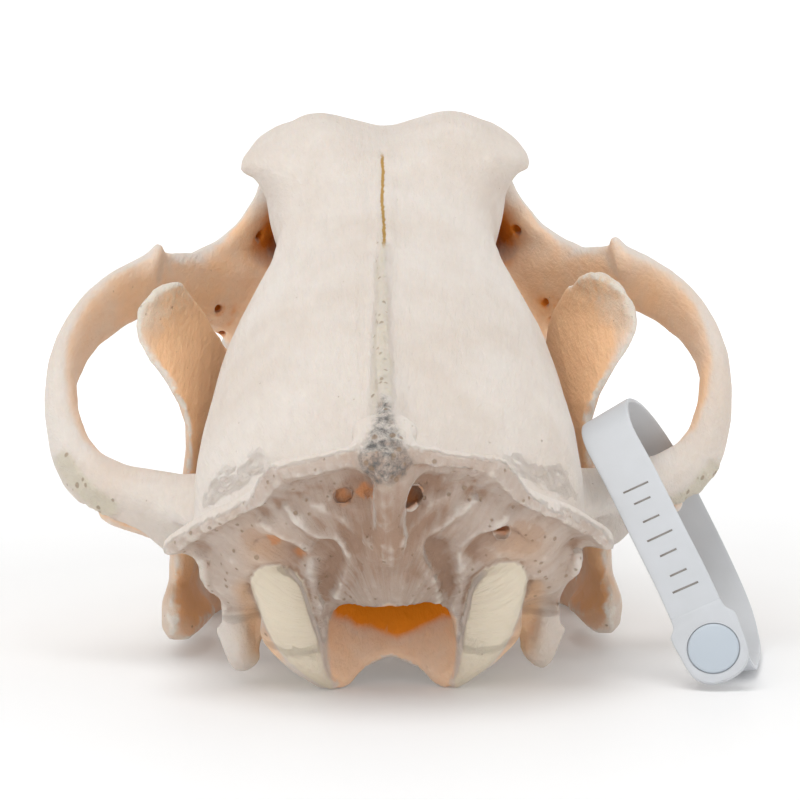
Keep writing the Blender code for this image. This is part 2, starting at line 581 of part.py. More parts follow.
def jaw_bone(side, work):
    """One half of the lower jaw: its body, ramus, coronoid, joint and angular process."""
    x, y, z = JAW_JOINT
    limb("jaw_body", sided([
        (42.0, 94.0, -14.0, 4.0, 12.0), (40.6, 108.0, -18.0, 6.4, 22.0),
        (39.0, 120.0, -20.4, 8.0, 26.0), (37.0, 132.0, -23.6, 10.0, 29.0),
        (34.8, 144.0, -26.0, 11.0, 29.4), (31.4, 160.0, -27.0, 11.6, 30.0), (27.0, 176.0, -27.0, 11.4, 29.6),
        (21.6, 192.0, -26.4, 10.6, 27.4), (16.0, 206.0, -25.2, 10.4, 25.0), (11.4, 218.0, -23.6, 11.0, 22.6),
        (8.4, 230.0, -20.4, 11.4, 18.6), (7.4, 240.0, -16.4, 12.0, 14.0), (6.6, 247.4, -13.6, 10.6, 8.0),
        (6.0, 250.6, -12.0, 7.0, 4.0),
    ], side), work, power=2.4, steps=3, sides=16)
    blade_sided("ramus", [
        (43.6, 82.0, -18.6, 40.6, 120.0, -26.0, 5.0),
        (43.8, 70.0, -10.0, 39.0, 124.0, -14.0, 6.4),
        (43.6, 62.4, 0.0, 38.0, 123.6, -6.0, 6.0),
        (43.0, 63.4, 9.0, 37.0, 121.6, 4.0, 5.2),
        (41.0, 72.0, 19.0, 36.2, 119.0, 15.0, 4.6),
        (40.4, 73.6, 29.0, 35.0, 116.0, 28.0, 4.2),
        (43.8, 75.4, 37.0, 35.6, 112.0, 37.4, 3.8),
        (49.6, 79.0, 44.6, 37.6, 107.0, 45.0, 3.6),
        (51.2, 82.0, 49.4, 39.2, 102.6, 49.6, 3.4),
        (48.8, 86.0, 53.0, 40.4, 99.4, 52.6, 3.0),
        (45.8, 89.4, CORONOID_TOP[2] - 0.4, 42.2, 95.6, CORONOID_TOP[2] - 0.4, 2.4),
    ], side, work, power=2.8, steps=3, sides=20)
    limb("ramus_front_edge", sided([
        (38.2, 124.0, -10.0, 8.6, 8.0), (37.0, 120.6, 4.0, 7.0, 6.0), (35.8, 116.6, 22.0, 5.4, 5.0),
        (36.4, 112.0, 36.0, 4.8, 4.6), (39.4, 104.0, 47.4, 3.8, 4.0),
    ], side), work, up=(0, 1, 0))
    limb("jaw_joint_head", sided([
        (x - JAW_JOINT_HALF, y + 0.6, z - 1.4, 4.4, 4.6), (x - 6.0, y, z - 0.4, 7.6, 7.6),
        (x, y - 0.2, z, 8.0, 8.0), (x + 6.4, y + 0.4, z + 0.4, 6.6, 6.8),
        (x + JAW_JOINT_HALF, y + 1.4, z + 0.2, 3.4, 3.8),
    ], side), work)
    limb("jaw_joint_neck", sided([
        (42.0, 70.0, 2.0, 5.0, 12.0), (42.8, 66.6, 8.0, 5.6, 8.0), (45.8, 64.4, 12.6, 10.4, 5.4),
        (47.0, 63.6, 14.6, 14.0, 4.0),
    ], side), work, up=(0, 1, 0))
    limb("angular_process", sided([
        (41.6, 80.0, -13.0, 7.0, 14.0), (43.2, 68.0, -7.0, 7.0, 12.0), (43.8, 60.0, -5.6, 6.2, 11.0),
        (43.6, 55.6, -6.0, 4.8, 8.6), (43.2, 53.6, -6.6, 2.6, 5.0),
    ], side), work, steps=3)
    blade_sided("pterygoid_flange", [
        (44.0, 80.0, -14.0, 37.6, 84.0, -17.0, 4.0),
        (45.0, 68.0, -6.0, 36.0, 70.0, -10.6, 4.0),
        (45.0, 58.0, -3.0, 38.6, 58.6, -8.6, 4.0),
        (44.4, 55.0, -6.0, 41.6, 55.2, -10.4, 3.0),
    ], side, work, power=2.4)


def masseter_hollow(side, cutters):
    """The hollow on the outer face of the ramus that the chewing muscle filled."""
    ball("masseter_hollow", (52.4 * side, 97.0, 6.0), (11.0, 26.0, 26.0), cutters, turn=(0, 0, 11 * side))


def lower_teeth(side, work):
    """Three incisors, the canine, four premolars and three molars of one half."""
    z = JAW_ALVEOLAR_Z
    for x, y, tip, length in ((2.6, 249.4, 8.0, 4.4), (6.4, 248.8, 8.4, 5.0), (10.0, 247.2, 8.8, 5.4)):
        tooth("incisor", x * side, y, z, tip, length, length * 0.74, work, lean=(0.3 * side, 1.6))
    limb("canine", sided([
        (9.4, 238.0, -19.0, 7.0, 8.6), (12.4, 241.6, -12.6, 8.0, 10.6), (15.2, 245.0, -6.0, 7.2, 9.2),
        (17.0, 247.0, 0.0, 5.2, 6.6), (17.6, 246.8, 5.0, 2.8, 3.4), (17.6, 246.0, 7.6, 0.9, 1.0),
    ], side), work, up=(0, 1, 0), steps=1, sides=10)
    tooth("premolar_1", 11.6 * side, 229.6, z - 0.4, 5.0, 5.0, 4.0, work)
    cheek_tooth("premolar_2", ((13.0 * side, 224.0), (15.4 * side, 212.6)),
                ((0.42, 6.6, 0.8), (0.8, 3.4, 0.5)), z, 4.8, work)
    cheek_tooth("premolar_3", ((16.0 * side, 210.4), (19.4 * side, 198.0)),
                ((0.42, 7.4, 0.8), (0.8, 4.4, 0.5)), z, 5.2, work)
    cheek_tooth("premolar_4", ((20.2 * side, 196.0), (24.0 * side, 182.0)),
                ((0.42, 9.0, 0.8), (0.8, 5.6, 0.5)), z, 6.0, work)
    cheek_tooth("molar_1", ((24.0 * side, 180.0), (29.4 * side, 154.0)),
                ((0.24, 8.6, 0.5), (0.52, 11.0, 0.55), (0.86, 5.4, 0.4)), z, 7.0, work)
    cheek_tooth("molar_2", ((31.0 * side, 152.0), (33.0 * side, 142.0)),
                ((0.3, 4.6, 0.6), (0.72, 4.0, 0.6)), z, 6.6, work)
    tooth("molar_3", 34.6 * side, 138.0, z + 1.0, 3.0, 5.0, 4.6, work)


def tag_outline():
    """The band's middle line from the head over the arch and back along the floor, with the
    direction across it, in millimetres in the resting frame."""
    lean = (0.90, 0.04, 0.43)
    flat = (0.98, 0.04, 0.10)
    return [
        (57.2, 12.4, 13.4) + lean, (54.4, 16.2, 20.0) + lean, (50.4, 22.0, 28.6) + lean,
        (46.2, 29.2, 37.8) + lean, (42.9, 36.0, 44.6) + lean, (42.4, 41.0, 47.8) + (0.87, 0.02, 0.49),
        (43.4, 46.6, 48.8) + (0.86, -0.02, 0.50), (46.2, 54.4, 47.4) + (0.88, -0.04, 0.46),
        (50.2, 61.6, 43.0) + (0.90, -0.02, 0.42), (55.0, 66.6, 35.6) + (0.91, 0.0, 0.40),
        (60.0, 67.4, 25.6) + (0.92, 0.0, 0.38), (64.4, 63.6, 16.0) + (0.94, 0.0, 0.32),
        (67.6, 57.6, 7.6) + (0.96, 0.0, 0.24), (68.4, 51.0, 2.6) + (0.98, 0.0, 0.12),
        (67.8, 44.0, 0.9) + flat, (66.2, 33.0, 0.9) + flat, (64.4, 23.0, 1.1) + flat,
        (62.8, 17.0, 2.6) + (0.95, 0.02, 0.26), (61.2, 14.2, 6.4) + (0.92, 0.04, 0.38),
    ]


def tag_head_frame():
    """Centre of the tag's round head, its direction up the strap, across it and towards the viewer."""
    up = (Vector((54.4, 16.2, 20.0)) - Vector((57.2, 12.4, 13.4))).normalized()
    across = Vector((0.90, 0.04, 0.43))
    across = (across - up * across.dot(up)).normalized()
    out = across.cross(up).normalized()
    if out.y > 0:
        out = -out
    centre = Vector((57.2, 12.4, 13.4)) - up * 7.4
    return centre, up, across, out


def placed_disc(name, centre, radius, depth, axes, collection, segments=24):
    """A flat round plate. Axes are across, up and out."""
    bm = bmesh.new()
    bmesh.ops.create_cone(bm, cap_ends=True, segments=segments, radius1=radius, radius2=radius, depth=depth)
    across, up, out = axes
    turn = Matrix((across, up, out)).transposed().to_4x4()
    bmesh.ops.transform(bm, matrix=Matrix.Translation(centre) @ turn, verts=bm.verts[:])
    bmesh.ops.recalc_face_normals(bm, faces=bm.faces[:])
    mesh = bpy.data.meshes.new(name)
    bm.to_mesh(mesh)
    bm.free()
    obj = bpy.data.objects.new(name, mesh)
    collection.objects.link(obj)
    return obj


def build_tag(part):
    """The loop tag: its band, the round head that closes it and the button on the head."""
    rows = []
    for row in smooth_rows(tag_outline(), 2):
        across = Vector(row[3:]).normalized() * (BAND_WIDTH / 2)
        middle = Vector(row[:3])
        rows.append((*(middle - across), *(middle + across), BAND_THICKNESS))
    band = blade("tag_band", rows, part, power=40.0, steps=1, sides=4, start=math.pi / 4)
    centre, up, across, out = tag_head_frame()
    axes = (across, up, out)
    head = placed_disc("tag_head", centre, TAG_HEAD_RADIUS, TAG_HEAD_THICKNESS, axes, part)
    neck = [
        (*(centre - across * 6.2), *(centre + across * 6.2), TAG_HEAD_THICKNESS),
        (*(centre + up * 3.6 - across * 6.0), *(centre + up * 3.6 + across * 6.0), TAG_HEAD_THICKNESS),
        (*(centre + up * (7.4 - GAP) - across * 5.0), *(centre + up * (7.4 - GAP) + across * 5.0),
         TAG_HEAD_THICKNESS),
    ]
    work = new_collection("tag_work")
    blade("tag_neck", neck, work, power=40.0, steps=1, sides=4, start=math.pi / 4)
    boolean(head, "UNION", work)
    bpy.data.collections.remove(work)
    lift = TAG_HEAD_THICKNESS / 2 + GAP + BUTTON_HEIGHT / 2
    button = placed_disc("tag_button", centre + out * lift, BUTTON_RADIUS, BUTTON_HEIGHT, axes, part)
    return [band, head, button]


def first_object(name, collection):
    """The collection's first object, moved out of it so that the others join it."""
    obj = collection.objects[0]
    collection.objects.unlink(obj)
    bpy.context.scene.collection.objects.link(obj)
    obj.name = name
    return obj


def build_skull(part, cutters, work):
    """The skull in one piece, parted with thin cuts at the face and at both ends of each arch."""
    braincase(work)
    frontal(work)
    crests(work)
    occiput(work)
    muzzle(work)
    arches(work)
    whole = first_object("whole_skull", work)
    boolean(whole, "UNION", work)
    skull_openings(cutters)
    boolean(whole, "DIFFERENCE", cutters)
    remeshed(whole, VOXEL, 6)
    thinned(whole, SKULL_TRIANGLES)
    box("face_cut", (0, 140.5, 35.0), (75.0, GAP, 120.0), cutters, turn=(-13.0, 0, 0))
    for side in (1, -1):
        box("arch_back_cut", (41.6 * side, 60.0, 20.0), (GAP, 44.0, 34.0), cutters, turn=(0, 0, 0))
        box("arch_front_cut", (48.0 * side, 147.0, 36.0), (30.0, GAP, 46.0), cutters, turn=(0, 0, 32.7 * side))
        limb("jaw_joint_socket", sided([
            (x, y, z, w, h) for x, y, z, w, h in (
                (JAW_JOINT[0] - JAW_JOINT_HALF - 2.0, JAW_JOINT[1] + 0.6, JAW_JOINT[2] - 1.6, 6.4, 6.6),
                (JAW_JOINT[0] - 6.0, JAW_JOINT[1], JAW_JOINT[2] - 0.8, 9.4, 9.4),
                (JAW_JOINT[0], JAW_JOINT[1] - 0.2, JAW_JOINT[2] - 0.4, 9.8, 9.8),
                (JAW_JOINT[0] + 6.4, JAW_JOINT[1] + 0.4, JAW_JOINT[2], 8.6, 8.8),
                (JAW_JOINT[0] + JAW_JOINT_HALF + 2.0, JAW_JOINT[1] + 1.4, JAW_JOINT[2] - 0.2, 6.0, 6.4))
        ], side), cutters)
    boolean(whole, "DIFFERENCE", cutters)
    return split_skull(whole, part)


def split_skull(whole, part):
    """Names the parted pieces by where their middles lie and drops loose scraps."""
    bm = bmesh.new()
    bm.from_mesh(whole.data)
    named = {}
    for island in sorted(islands(bm), key=len, reverse=True)[:4]:
        verts = {v for face in island for v in face.verts}
        middle = sum((v.co for v in verts), Vector()) / len(verts)
        if abs(middle.x) > 20:
            name = "zygomatic_arch_right" if middle.x > 0 else "zygomatic_arch_left"
        else:
            name = "muzzle" if middle.y > 150 else "cranium"
        named[name] = {tuple(v.co) for v in verts}
    bm.free()
    pieces = []
    for name, keep in named.items():
        obj = bpy.data.objects.new(name, whole.data.copy())
        part.objects.link(obj)
        piece = bmesh.new()
        piece.from_mesh(obj.data)
        others = [v for v in piece.verts if tuple(v.co) not in keep]
        bmesh.ops.delete(piece, geom=others, context="VERTS")
        piece.to_mesh(obj.data)
        piece.free()
        pieces.append(obj)
    bpy.data.objects.remove(whole)
    return pieces


def build_jaw(part, cutters, work):
    """The two halves of the lower jaw, a hair apart at the chin."""
    halves = []
    for side, name in ((1, "mandible_right"), (-1, "mandible_left")):
        jaw_bone(side, work)
        half = first_object(name, work)
        boolean(half, "UNION", work)
        masseter_hollow(side, cutters)
        boolean(half, "DIFFERENCE", cutters)
        remeshed(half, VOXEL, 3)
        thinned(half, JAW_TRIANGLES)
        bpy.context.scene.collection.objects.unlink(half)
        part.objects.link(half)
        lower_teeth(side, work)
        boolean(half, "UNION", work)
        box("chin_plane", (-(40.0 - GAP / 2) * side, 200.0, -10.0), (80.0, 160.0, 80.0), cutters)
        boolean(half, "DIFFERENCE", cutters)
        halves.append(half)
    return halves


def add_upper_teeth(muzzle_object, cutters, work):
    """Sets the upper teeth and clears the room that the lower canines stand in."""
    upper_teeth(work)
    boolean(muzzle_object, "UNION", work)
    for side in (1, -1):
        limb("canine_room", sided([
            (11.6, 240.6, -16.0, 9.6, 12.4), (15.2, 245.0, -6.0, 8.8, 10.8),
            (17.0, 247.0, 0.0, 6.8, 8.2), (17.6, 246.8, 5.0, 4.6, 5.2), (17.7, 246.0, 9.2, 2.6, 2.8),
        ], side), cutters, up=(0, 1, 0), steps=1, sides=10)
    boolean(muzzle_object, "DIFFERENCE", cutters)


def pose_matrix():
    """From the skull's frame in millimetres to the resting frame in metres."""
    scale = Matrix.Scale(MM, 4)
    turn = Matrix.Rotation(NOSE_UP, 4, "X")
    return scale @ rest_shift() @ Matrix.Translation((0, 0, -FLOOR_DROP)) @ turn


def rest_shift():
    """Puts the origin on the floor, under the middle of the whole."""
    return Matrix.Translation((-ORIGIN_X, -ORIGIN_Y, 0))


def cut_feet(objects, cutters):
    """Small flats at floor level where the bones rest."""
    floor = box("floor_plane", (0, 0, -0.02), (0.5, 0.5, 0.04), cutters)
    floor.hide_render = True
    floor.display_type = "WIRE"
    for obj in objects:
        modifier = obj.modifiers.new("foot", "BOOLEAN")
        modifier.operation = "DIFFERENCE"
        modifier.object = floor
        modifier.solver = "EXACT"
        apply_modifiers(obj)


def finish(obj, material):
    obj.data.materials.clear()
    obj.data.materials.append(material)
    obj.data.shade_smooth()
    obj.data.set_sharp_from_angle(angle=math.radians(40))


def main():
    for obj in list(bpy.data.objects):
        bpy.data.objects.remove(obj)
    part = new_collection(NAME)
    cutters = new_collection("cutters")
    work = new_collection("work")
    bone = bone_material("bone", (0.80, 0.72, 0.62), 0.62)
    jaw = bone_material("jaw_bone", (0.80, 0.68, 0.54), 0.60)
    plastic = bone_material("tag_plastic", (0.76, 0.78, 0.80), 0.38)
    skull = build_skull(part, cutters, work)
    muzzle_object = next(obj for obj in skull if obj.name == "muzzle")
    add_upper_teeth(muzzle_object, cutters, work)
    halves = build_jaw(part, cutters, work)
    tag = build_tag(part)
    for obj in skull + halves:
        tidy(obj)
        obj.data.transform(pose_matrix())
    for obj in tag:
        obj.data.transform(Matrix.Scale(MM, 4) @ rest_shift())
    cranium = next(obj for obj in skull if obj.name == "cranium")
    cut_feet([cranium] + halves + [tag[0], tag[1]], cutters)
    for obj in skull:
        finish(obj, bone)
    for obj in halves:
        finish(obj, jaw)
    for obj in tag:
        finish(obj, plastic)
    bpy.data.collections.remove(work)


main()
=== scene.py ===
"""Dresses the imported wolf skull: bone skins, teeth, tag, floor, lights and camera.

Bones are modelled in the skull's own frame, in millimetres: X to the animal's right, Y forward to
the nose, Z up from the tooth row. The last step turns each piece on to the floor, in metres.
"""
import math

import bmesh
import bpy
import numpy as np
from mathutils import Matrix, Vector
from mathutils.bvhtree import BVHTree
from mathutils.kdtree import KDTree


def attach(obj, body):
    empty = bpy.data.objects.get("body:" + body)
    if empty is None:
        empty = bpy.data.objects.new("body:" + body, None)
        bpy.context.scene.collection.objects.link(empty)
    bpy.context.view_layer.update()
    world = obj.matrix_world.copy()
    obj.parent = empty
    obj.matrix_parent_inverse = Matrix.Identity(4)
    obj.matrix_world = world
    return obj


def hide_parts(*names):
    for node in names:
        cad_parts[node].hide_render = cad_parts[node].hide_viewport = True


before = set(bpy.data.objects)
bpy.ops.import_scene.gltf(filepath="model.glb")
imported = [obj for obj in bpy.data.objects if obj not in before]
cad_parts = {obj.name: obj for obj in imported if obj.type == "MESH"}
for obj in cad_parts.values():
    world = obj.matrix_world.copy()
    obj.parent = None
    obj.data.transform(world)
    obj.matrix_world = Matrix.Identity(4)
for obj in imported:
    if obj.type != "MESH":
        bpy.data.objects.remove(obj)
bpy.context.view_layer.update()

bl_info = {
    "name": "Wolf Skull Dressing",
    "version": (1, 0, 0),
    "blender": (4, 5, 0),
    "location": "View3D > Sidebar > Wolf Skull",
    "description": "Builds the bone skins, teeth, tag and stage around the packed wolf skull",
    "category": "Object",
}

MM = 0.001

# The rest pose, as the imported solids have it
NOSE_UP = math.radians(17.7)
FLOOR_DROP = 4.44
ORIGIN = Vector((1.23, 116.7, 0.0))
TO_FLOOR = Matrix.Translation((0, 0, -FLOOR_DROP)) @ Matrix.Rotation(NOSE_UP, 4, "X")
FLOOR_TO_WORLD = Matrix.Scale(MM, 4) @ Matrix.Translation(-ORIGIN)
TO_WORLD = FLOOR_TO_WORLD @ TO_FLOOR
TO_SKULL = TO_WORLD.inverted()

# The photograph's camera in the skull's frame
EYE = Vector((2.2, -469.3, 250.5))
EYE_PITCH = math.radians(21.67)
EYE_YAW = math.radians(0.02)
EYE_ROLL = math.radians(-0.88)
FOCAL_PX = 2898.0
IMAGE_PX = 800.0
SENSOR_MM = 36.0
NODE_GAP = 180
GOLDEN_ANGLE = 2.39996
SHARP_ANGLE = math.radians(50)
# Where the bone ends and the crowns begin
UPPER_GUM, LOWER_GUM, LOWER_FRONT_GUM = -0.3, -11.0, -9.6

SKULL_NODES = ("cranium", "muzzle", "zygomatic_arch_right", "zygomatic_arch_left")
BONE_NODES = SKULL_NODES + ("mandible_right", "mandible_left")


# Meshes

def store(bm, name):
    """A scene object from a bmesh, which is freed."""
    mesh = bpy.data.meshes.new(name)
    bm.to_mesh(mesh)
    bm.free()
    obj = bpy.data.objects.new(name, mesh)
    bpy.context.scene.collection.objects.link(obj)
    return obj


def remove(objects):
    for obj in list(objects):
        bpy.data.objects.remove(obj)


def applied(obj):
    """Replaces an object's mesh by its evaluated one."""
    graph = bpy.context.evaluated_depsgraph_get()
    mesh = bpy.data.meshes.new_from_object(obj.evaluated_get(graph))
    obj.modifiers.clear()
    obj.data = mesh
    return obj


def joined(name, objects):
    """One object with the meshes of all of them."""
    bm = bmesh.new()
    for obj in objects:
        bm.from_mesh(obj.data)
    remove(objects)
    return store(bm, name)


def cad_copy(name, nodes):
    """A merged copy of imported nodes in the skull's frame, in millimetres."""
    bm = bmesh.new()
    for node_name in nodes:
        bm.from_mesh(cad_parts[node_name].data)
    bmesh.ops.transform(bm, matrix=TO_SKULL, verts=bm.verts[:])
    bmesh.ops.remove_doubles(bm, verts=bm.verts[:], dist=0.005)
    for layer in list(bm.loops.layers.uv):
        bm.loops.layers.uv.remove(layer)
    return store(bm, name)


def carved(obj, cutters):
    """The object less its cutters, which are removed."""
    holder = bpy.data.collections.new("carving")
    for cutter in cutters:
        holder.objects.link(cutter)
    modifier = obj.modifiers.new("carve", "BOOLEAN")
    modifier.operation = "DIFFERENCE"
    modifier.operand_type = "COLLECTION"
    modifier.collection = holder
    modifier.solver = "EXACT"
    applied(obj)
    remove(cutters)
    bpy.data.collections.remove(holder)
    return obj


def eased(bm, factor, rounds=1):
    """Moves each point towards the middle of its neighbours."""
    for _ in range(rounds):
        bmesh.ops.smooth_vert(bm, verts=bm.verts[:], factor=factor, use_axis_x=True, use_axis_y=True,
                              use_axis_z=True)


def fused(obj, voxel):
    """One even closed skin over everything in the object."""
    modifier = obj.modifiers.new("fuse", "REMESH")
    modifier.mode = "VOXEL"
    modifier.voxel_size = voxel
    modifier.adaptivity = 0.0
    applied(obj)
    bm = bmesh.new()
    bm.from_mesh(obj.data)
    eased(bm, 0.5)
    keep_largest(bm)
    bm.to_mesh(obj.data)
    bm.free()
    return obj


def keep_largest(bm):
    """Deletes every closed surface but the largest."""
    seen = set()
    parts = []
    for face in bm.faces:
        if face in seen:
            continue
        seen.add(face)
        part = [face]
        for current in part:
            for edge in current.edges:
                for other in edge.link_faces:
                    if other not in seen:
                        seen.add(other)
                        part.append(other)
        parts.append(part)
    parts.sort(key=len)
    loose = [v for part in parts[:-1] for v in {v for face in part for v in face.verts}]
    bmesh.ops.delete(bm, geom=loose, context="VERTS")


def thinned(obj, triangles):
    """The object with at most so many triangles, kept where the surface bends."""
    obj.data.calc_loop_triangles()
    count = len(obj.data.loop_triangles)
    if count > triangles:
        modifier = obj.modifiers.new("thin", "DECIMATE")
        modifier.ratio = triangles / count
        modifier.use_collapse_triangulate = True
        applied(obj)
    return obj


def smooth_rows(rows, steps):
    """Rows of numbers joined by a Catmull-Rom curve, with steps spans between each two."""
    rows = [tuple(float(v) for v in row) for row in rows]
    out = []
    for i in range(len(rows) - 1):
        p0, p1 = rows[max(i - 1, 0)], rows[i]
        p2, p3 = rows[i + 1], rows[min(i + 2, len(rows) - 1)]
        for k in range(steps):
            t = k / steps
            out.append(tuple(
                0.5 * (2 * b + (c - a) * t + (2 * a - 5 * b + 4 * c - d) * t * t
                       + (3 * b - a - 3 * c + d) * t ** 3)
                for a, b, c, d in zip(p0, p1, p2, p3)))
    out.append(rows[-1])
    return out


def section(bm, matrix, sides, power):
    """A closed flat cap: a circle pushed towards a rounded square and set on its plane."""
    made = bmesh.ops.create_circle(bm, cap_ends=True, segments=sides, radius=1.0)["verts"]
    for vert in made:
        for k in (0, 1):
            vert.co[k] = math.copysign(abs(vert.co[k]) ** (2.0 / power), vert.co[k])
    bmesh.ops.transform(bm, matrix=matrix, verts=made)
    return made[0].link_faces[0]


def swept(name, places, sides=16, power=2.0):
    """A closed body: one cap extruded from place to place, each a matrix for the unit section."""
    bm = bmesh.new()
    first = face = section(bm, places[0], sides, power)
    for before, after in zip(places, places[1:]):
        made = bmesh.ops.extrude_face_region(bm, geom=[face])["geom"]
        verts = [g for g in made if isinstance(g, bmesh.types.BMVert)]
        bmesh.ops.transform(bm, matrix=after @ before.inverted(), verts=verts)
        if face is not first:
            bmesh.ops.delete(bm, geom=[face], context="FACES_ONLY")
        face = next(g for g in made if isinstance(g, bmesh.types.BMFace))
    ends = [f for f in bm.faces if len(f.verts) > 4]
    bmesh.ops.poke(bm, faces=ends)
    bmesh.ops.recalc_face_normals(bm, faces=bm.faces[:])
    return store(bm, name)


def place(centre, across, rise):
    """The matrix of a section from its centre and its two half sizes as vectors."""
    along = across.cross(rise).normalized()
    matrix = Matrix((across, rise, along)).transposed().to_4x4()
    matrix.translation = centre
    return matrix


def limb(name, rows, up=(0, 0, 1), steps=3, sides=16):
    """A body along a path. A row is x, y, z, width across and size along the up direction."""
    rows = smooth_rows(rows, steps)
    points = [Vector(row[:3]) for row in rows]
    places = []
    for i, row in enumerate(rows):
        along = (points[min(i + 1, len(points) - 1)] - points[max(i - 1, 0)]).normalized()
        side = along.cross(Vector(up)).normalized()
        rise = side.cross(along).normalized()
        places.append(place(points[i], side * (row[3] / 2), rise * (row[4] / 2)))
    return swept(name, places, sides)


def sided(rows, side):
    """Rows with x turned to the given side."""
    return [(row[0] * side, *row[1:]) for row in rows]


def block(name, low, high, matrix=Matrix.Identity(4)):
    """A plain cutter between two corners."""
    bm = bmesh.new()
    bmesh.ops.create_cube(bm, size=1.0)
    low, high = Vector(low), Vector(high)
    size = Matrix.Diagonal((*(high - low), 1.0))
    bmesh.ops.transform(bm, matrix=matrix @ Matrix.Translation((low + high) / 2) @ size, verts=bm.verts[:])
    return store(bm, name)


def bead(name, centre, radii):
    """A ball scaled to three radii."""
    bm = bmesh.new()
    bmesh.ops.create_uvsphere(bm, u_segments=20, v_segments=12, radius=1.0)
    matrix = Matrix.Translation(centre) @ Matrix.Diagonal((*radii, 1.0))
    bmesh.ops.transform(bm, matrix=matrix, verts=bm.verts[:])
    return store(bm, name)


# Sculpting

def points_of(obj):
    co = np.empty(len(obj.data.vertices) * 3, np.float32)
    obj.data.vertices.foreach_get("co", co)
    return co.reshape(-1, 3).astype(float)


def normals_of(obj):
    normals = np.empty(len(obj.data.vertices) * 3, np.float32)
    obj.data.vertex_normals.foreach_get("vector", normals)
    return normals.reshape(-1, 3).astype(float)


def set_points(obj, points):
    obj.data.vertices.foreach_set("co", points.astype(np.float32).ravel())
    obj.data.update()


def scrambled(cells, seed):
    """An even random value from -1 to 1 for each whole-number cell."""
    n = cells[..., 0] * 374761393 + cells[..., 1] * 668265263 + cells[..., 2] * 1442695041 + seed * 97
    n = ((n ^ (n >> 13)) * 1274126177) & 0x7FFFFFFF
    n = ((n ^ (n >> 15)) * 668265263) & 0x7FFFFFFF
    return ((n >> 7) & 0xFFFF) / 32767.5 - 1.0


def noise(points, size, seed=0, octaves=1):
    """Smooth noise from -1 to 1 with features of about the given size."""
    total = np.zeros(len(points))
    strength, weight = 1.0, 0.0
    for octave in range(octaves):
        scaled = points / size * 2 ** octave + 17.3 * octave
        cell = np.floor(scaled).astype(np.int64)
        part = scaled - cell
        part = part * part * (3 - 2 * part)
        value = np.zeros(len(points))
        for dx in (0, 1):
            for dy in (0, 1):
                for dz in (0, 1):
                    share = ((part[:, 0] if dx else 1 - part[:, 0])
                             * (part[:, 1] if dy else 1 - part[:, 1])
                             * (part[:, 2] if dz else 1 - part[:, 2]))
                    value += share * scrambled(cell + np.array((dx, dy, dz)), seed + octave)
        total += strength * value
        weight += strength
        strength *= 0.5
    return total / weight


def distance_to_path(points, path):
    """The distance of each point from a line through the path's points."""
    nearest = np.full(len(points), 1e9)
    for a, b in zip(path, path[1:]):
        a, b = np.array(a, float), np.array(b, float)
        step = b - a
        share = np.clip(((points - a) @ step) / max(step @ step, 1e-9), 0, 1)
        gap = points - a - share[:, None] * step
        nearest = np.minimum(nearest, np.sqrt((gap * gap).sum(1)))
    return nearest


def ramp(values, low, high):
    """0 at low and 1 at high, easing in and out."""
    share = np.clip((values - low) / (high - low), 0, 1)
    return share * share * (3 - 2 * share)


def sight(u, v):
    """The direction from the photograph's eye through one of its pixels, in the skull's frame."""
    right, up, forward = eye_axes()
    return (forward * FOCAL_PX + right * (u - IMAGE_PX / 2) + up * (IMAGE_PX / 2 - v)).normalized()


def eye_axes():
    forward = Vector((math.sin(EYE_YAW) * math.cos(EYE_PITCH), math.cos(EYE_YAW) * math.cos(EYE_PITCH),
                      -math.sin(EYE_PITCH)))
    level = Vector((math.cos(EYE_YAW), -math.sin(EYE_YAW), 0))
    upright = level.cross(forward)
    right = math.cos(EYE_ROLL) * level + math.sin(EYE_ROLL) * upright
    up = math.cos(EYE_ROLL) * upright - math.sin(EYE_ROLL) * level
    return right, up, forward


def pixels_of(points):
    """Where the photograph shows each point."""
    right, up, forward = (np.array(axis) for axis in eye_axes())
    away = points - np.array(EYE)
    depth = away @ forward
    return np.stack([IMAGE_PX / 2 + FOCAL_PX * (away @ right) / depth,
                     IMAGE_PX / 2 - FOCAL_PX * (away @ up) / depth], axis=1)


def within(pixels, outline):
    """How many pixels inside an outline each place lies, below nothing outside it."""
    u, v = pixels.T
    inside = np.zeros(len(u), bool)
    for (u0, v0), (u1, v1) in zip(outline, outline[1:] + outline[:1]):
        if v0 == v1:
            continue
        crosses = (v0 > v) != (v1 > v)
        inside ^= crosses & (u < u0 + (v - v0) * (u1 - u0) / (v1 - v0))
    gap = distance_to_path(pixels, outline + outline[:1])
    return np.where(inside, gap, -gap)


def spot(pixels, centre, radius):
    """1 at a place in the photograph, fading to 0 over a radius in pixels."""
    return np.exp(-(np.hypot(*(pixels - np.array(centre)).T) / radius) ** 2)


def seen_on(tree, path):
    """Where the photograph's pixels fall on the bone."""
    hits = (tree.ray_cast(EYE, sight(u, v))[0] for u, v in path)
    return [tuple(hit) for hit in hits if hit is not None]


def stroked(obj, strokes):
    """Pushes the bone out or in along strokes. A stroke is its pixels, its half width and its
    height in millimetres, below nothing for a groove."""
    tree = BVHTree.FromObject(obj, bpy.context.evaluated_depsgraph_get())
    points = points_of(obj)
    push = np.zeros(len(points))
    for path, width, height in strokes:
        path = seen_on(tree, smooth_rows(path, 3))
        low = np.min(path, axis=0) - 3 * width
        high = np.max(path, axis=0) + 3 * width
        near = np.where(((points > low) & (points < high)).all(1))[0]
        gap = distance_to_path(points[near], path)
        push[near] += height * np.exp(-(gap / width) ** 2)
    set_points(obj, points + normals_of(obj) * push[:, None])


# Placing

def as_piece(obj, material, slot, *nodes):
    """Turns a finished piece on to the floor, in metres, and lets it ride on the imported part."""
    finished(obj, material, slot, TO_WORLD, *nodes)


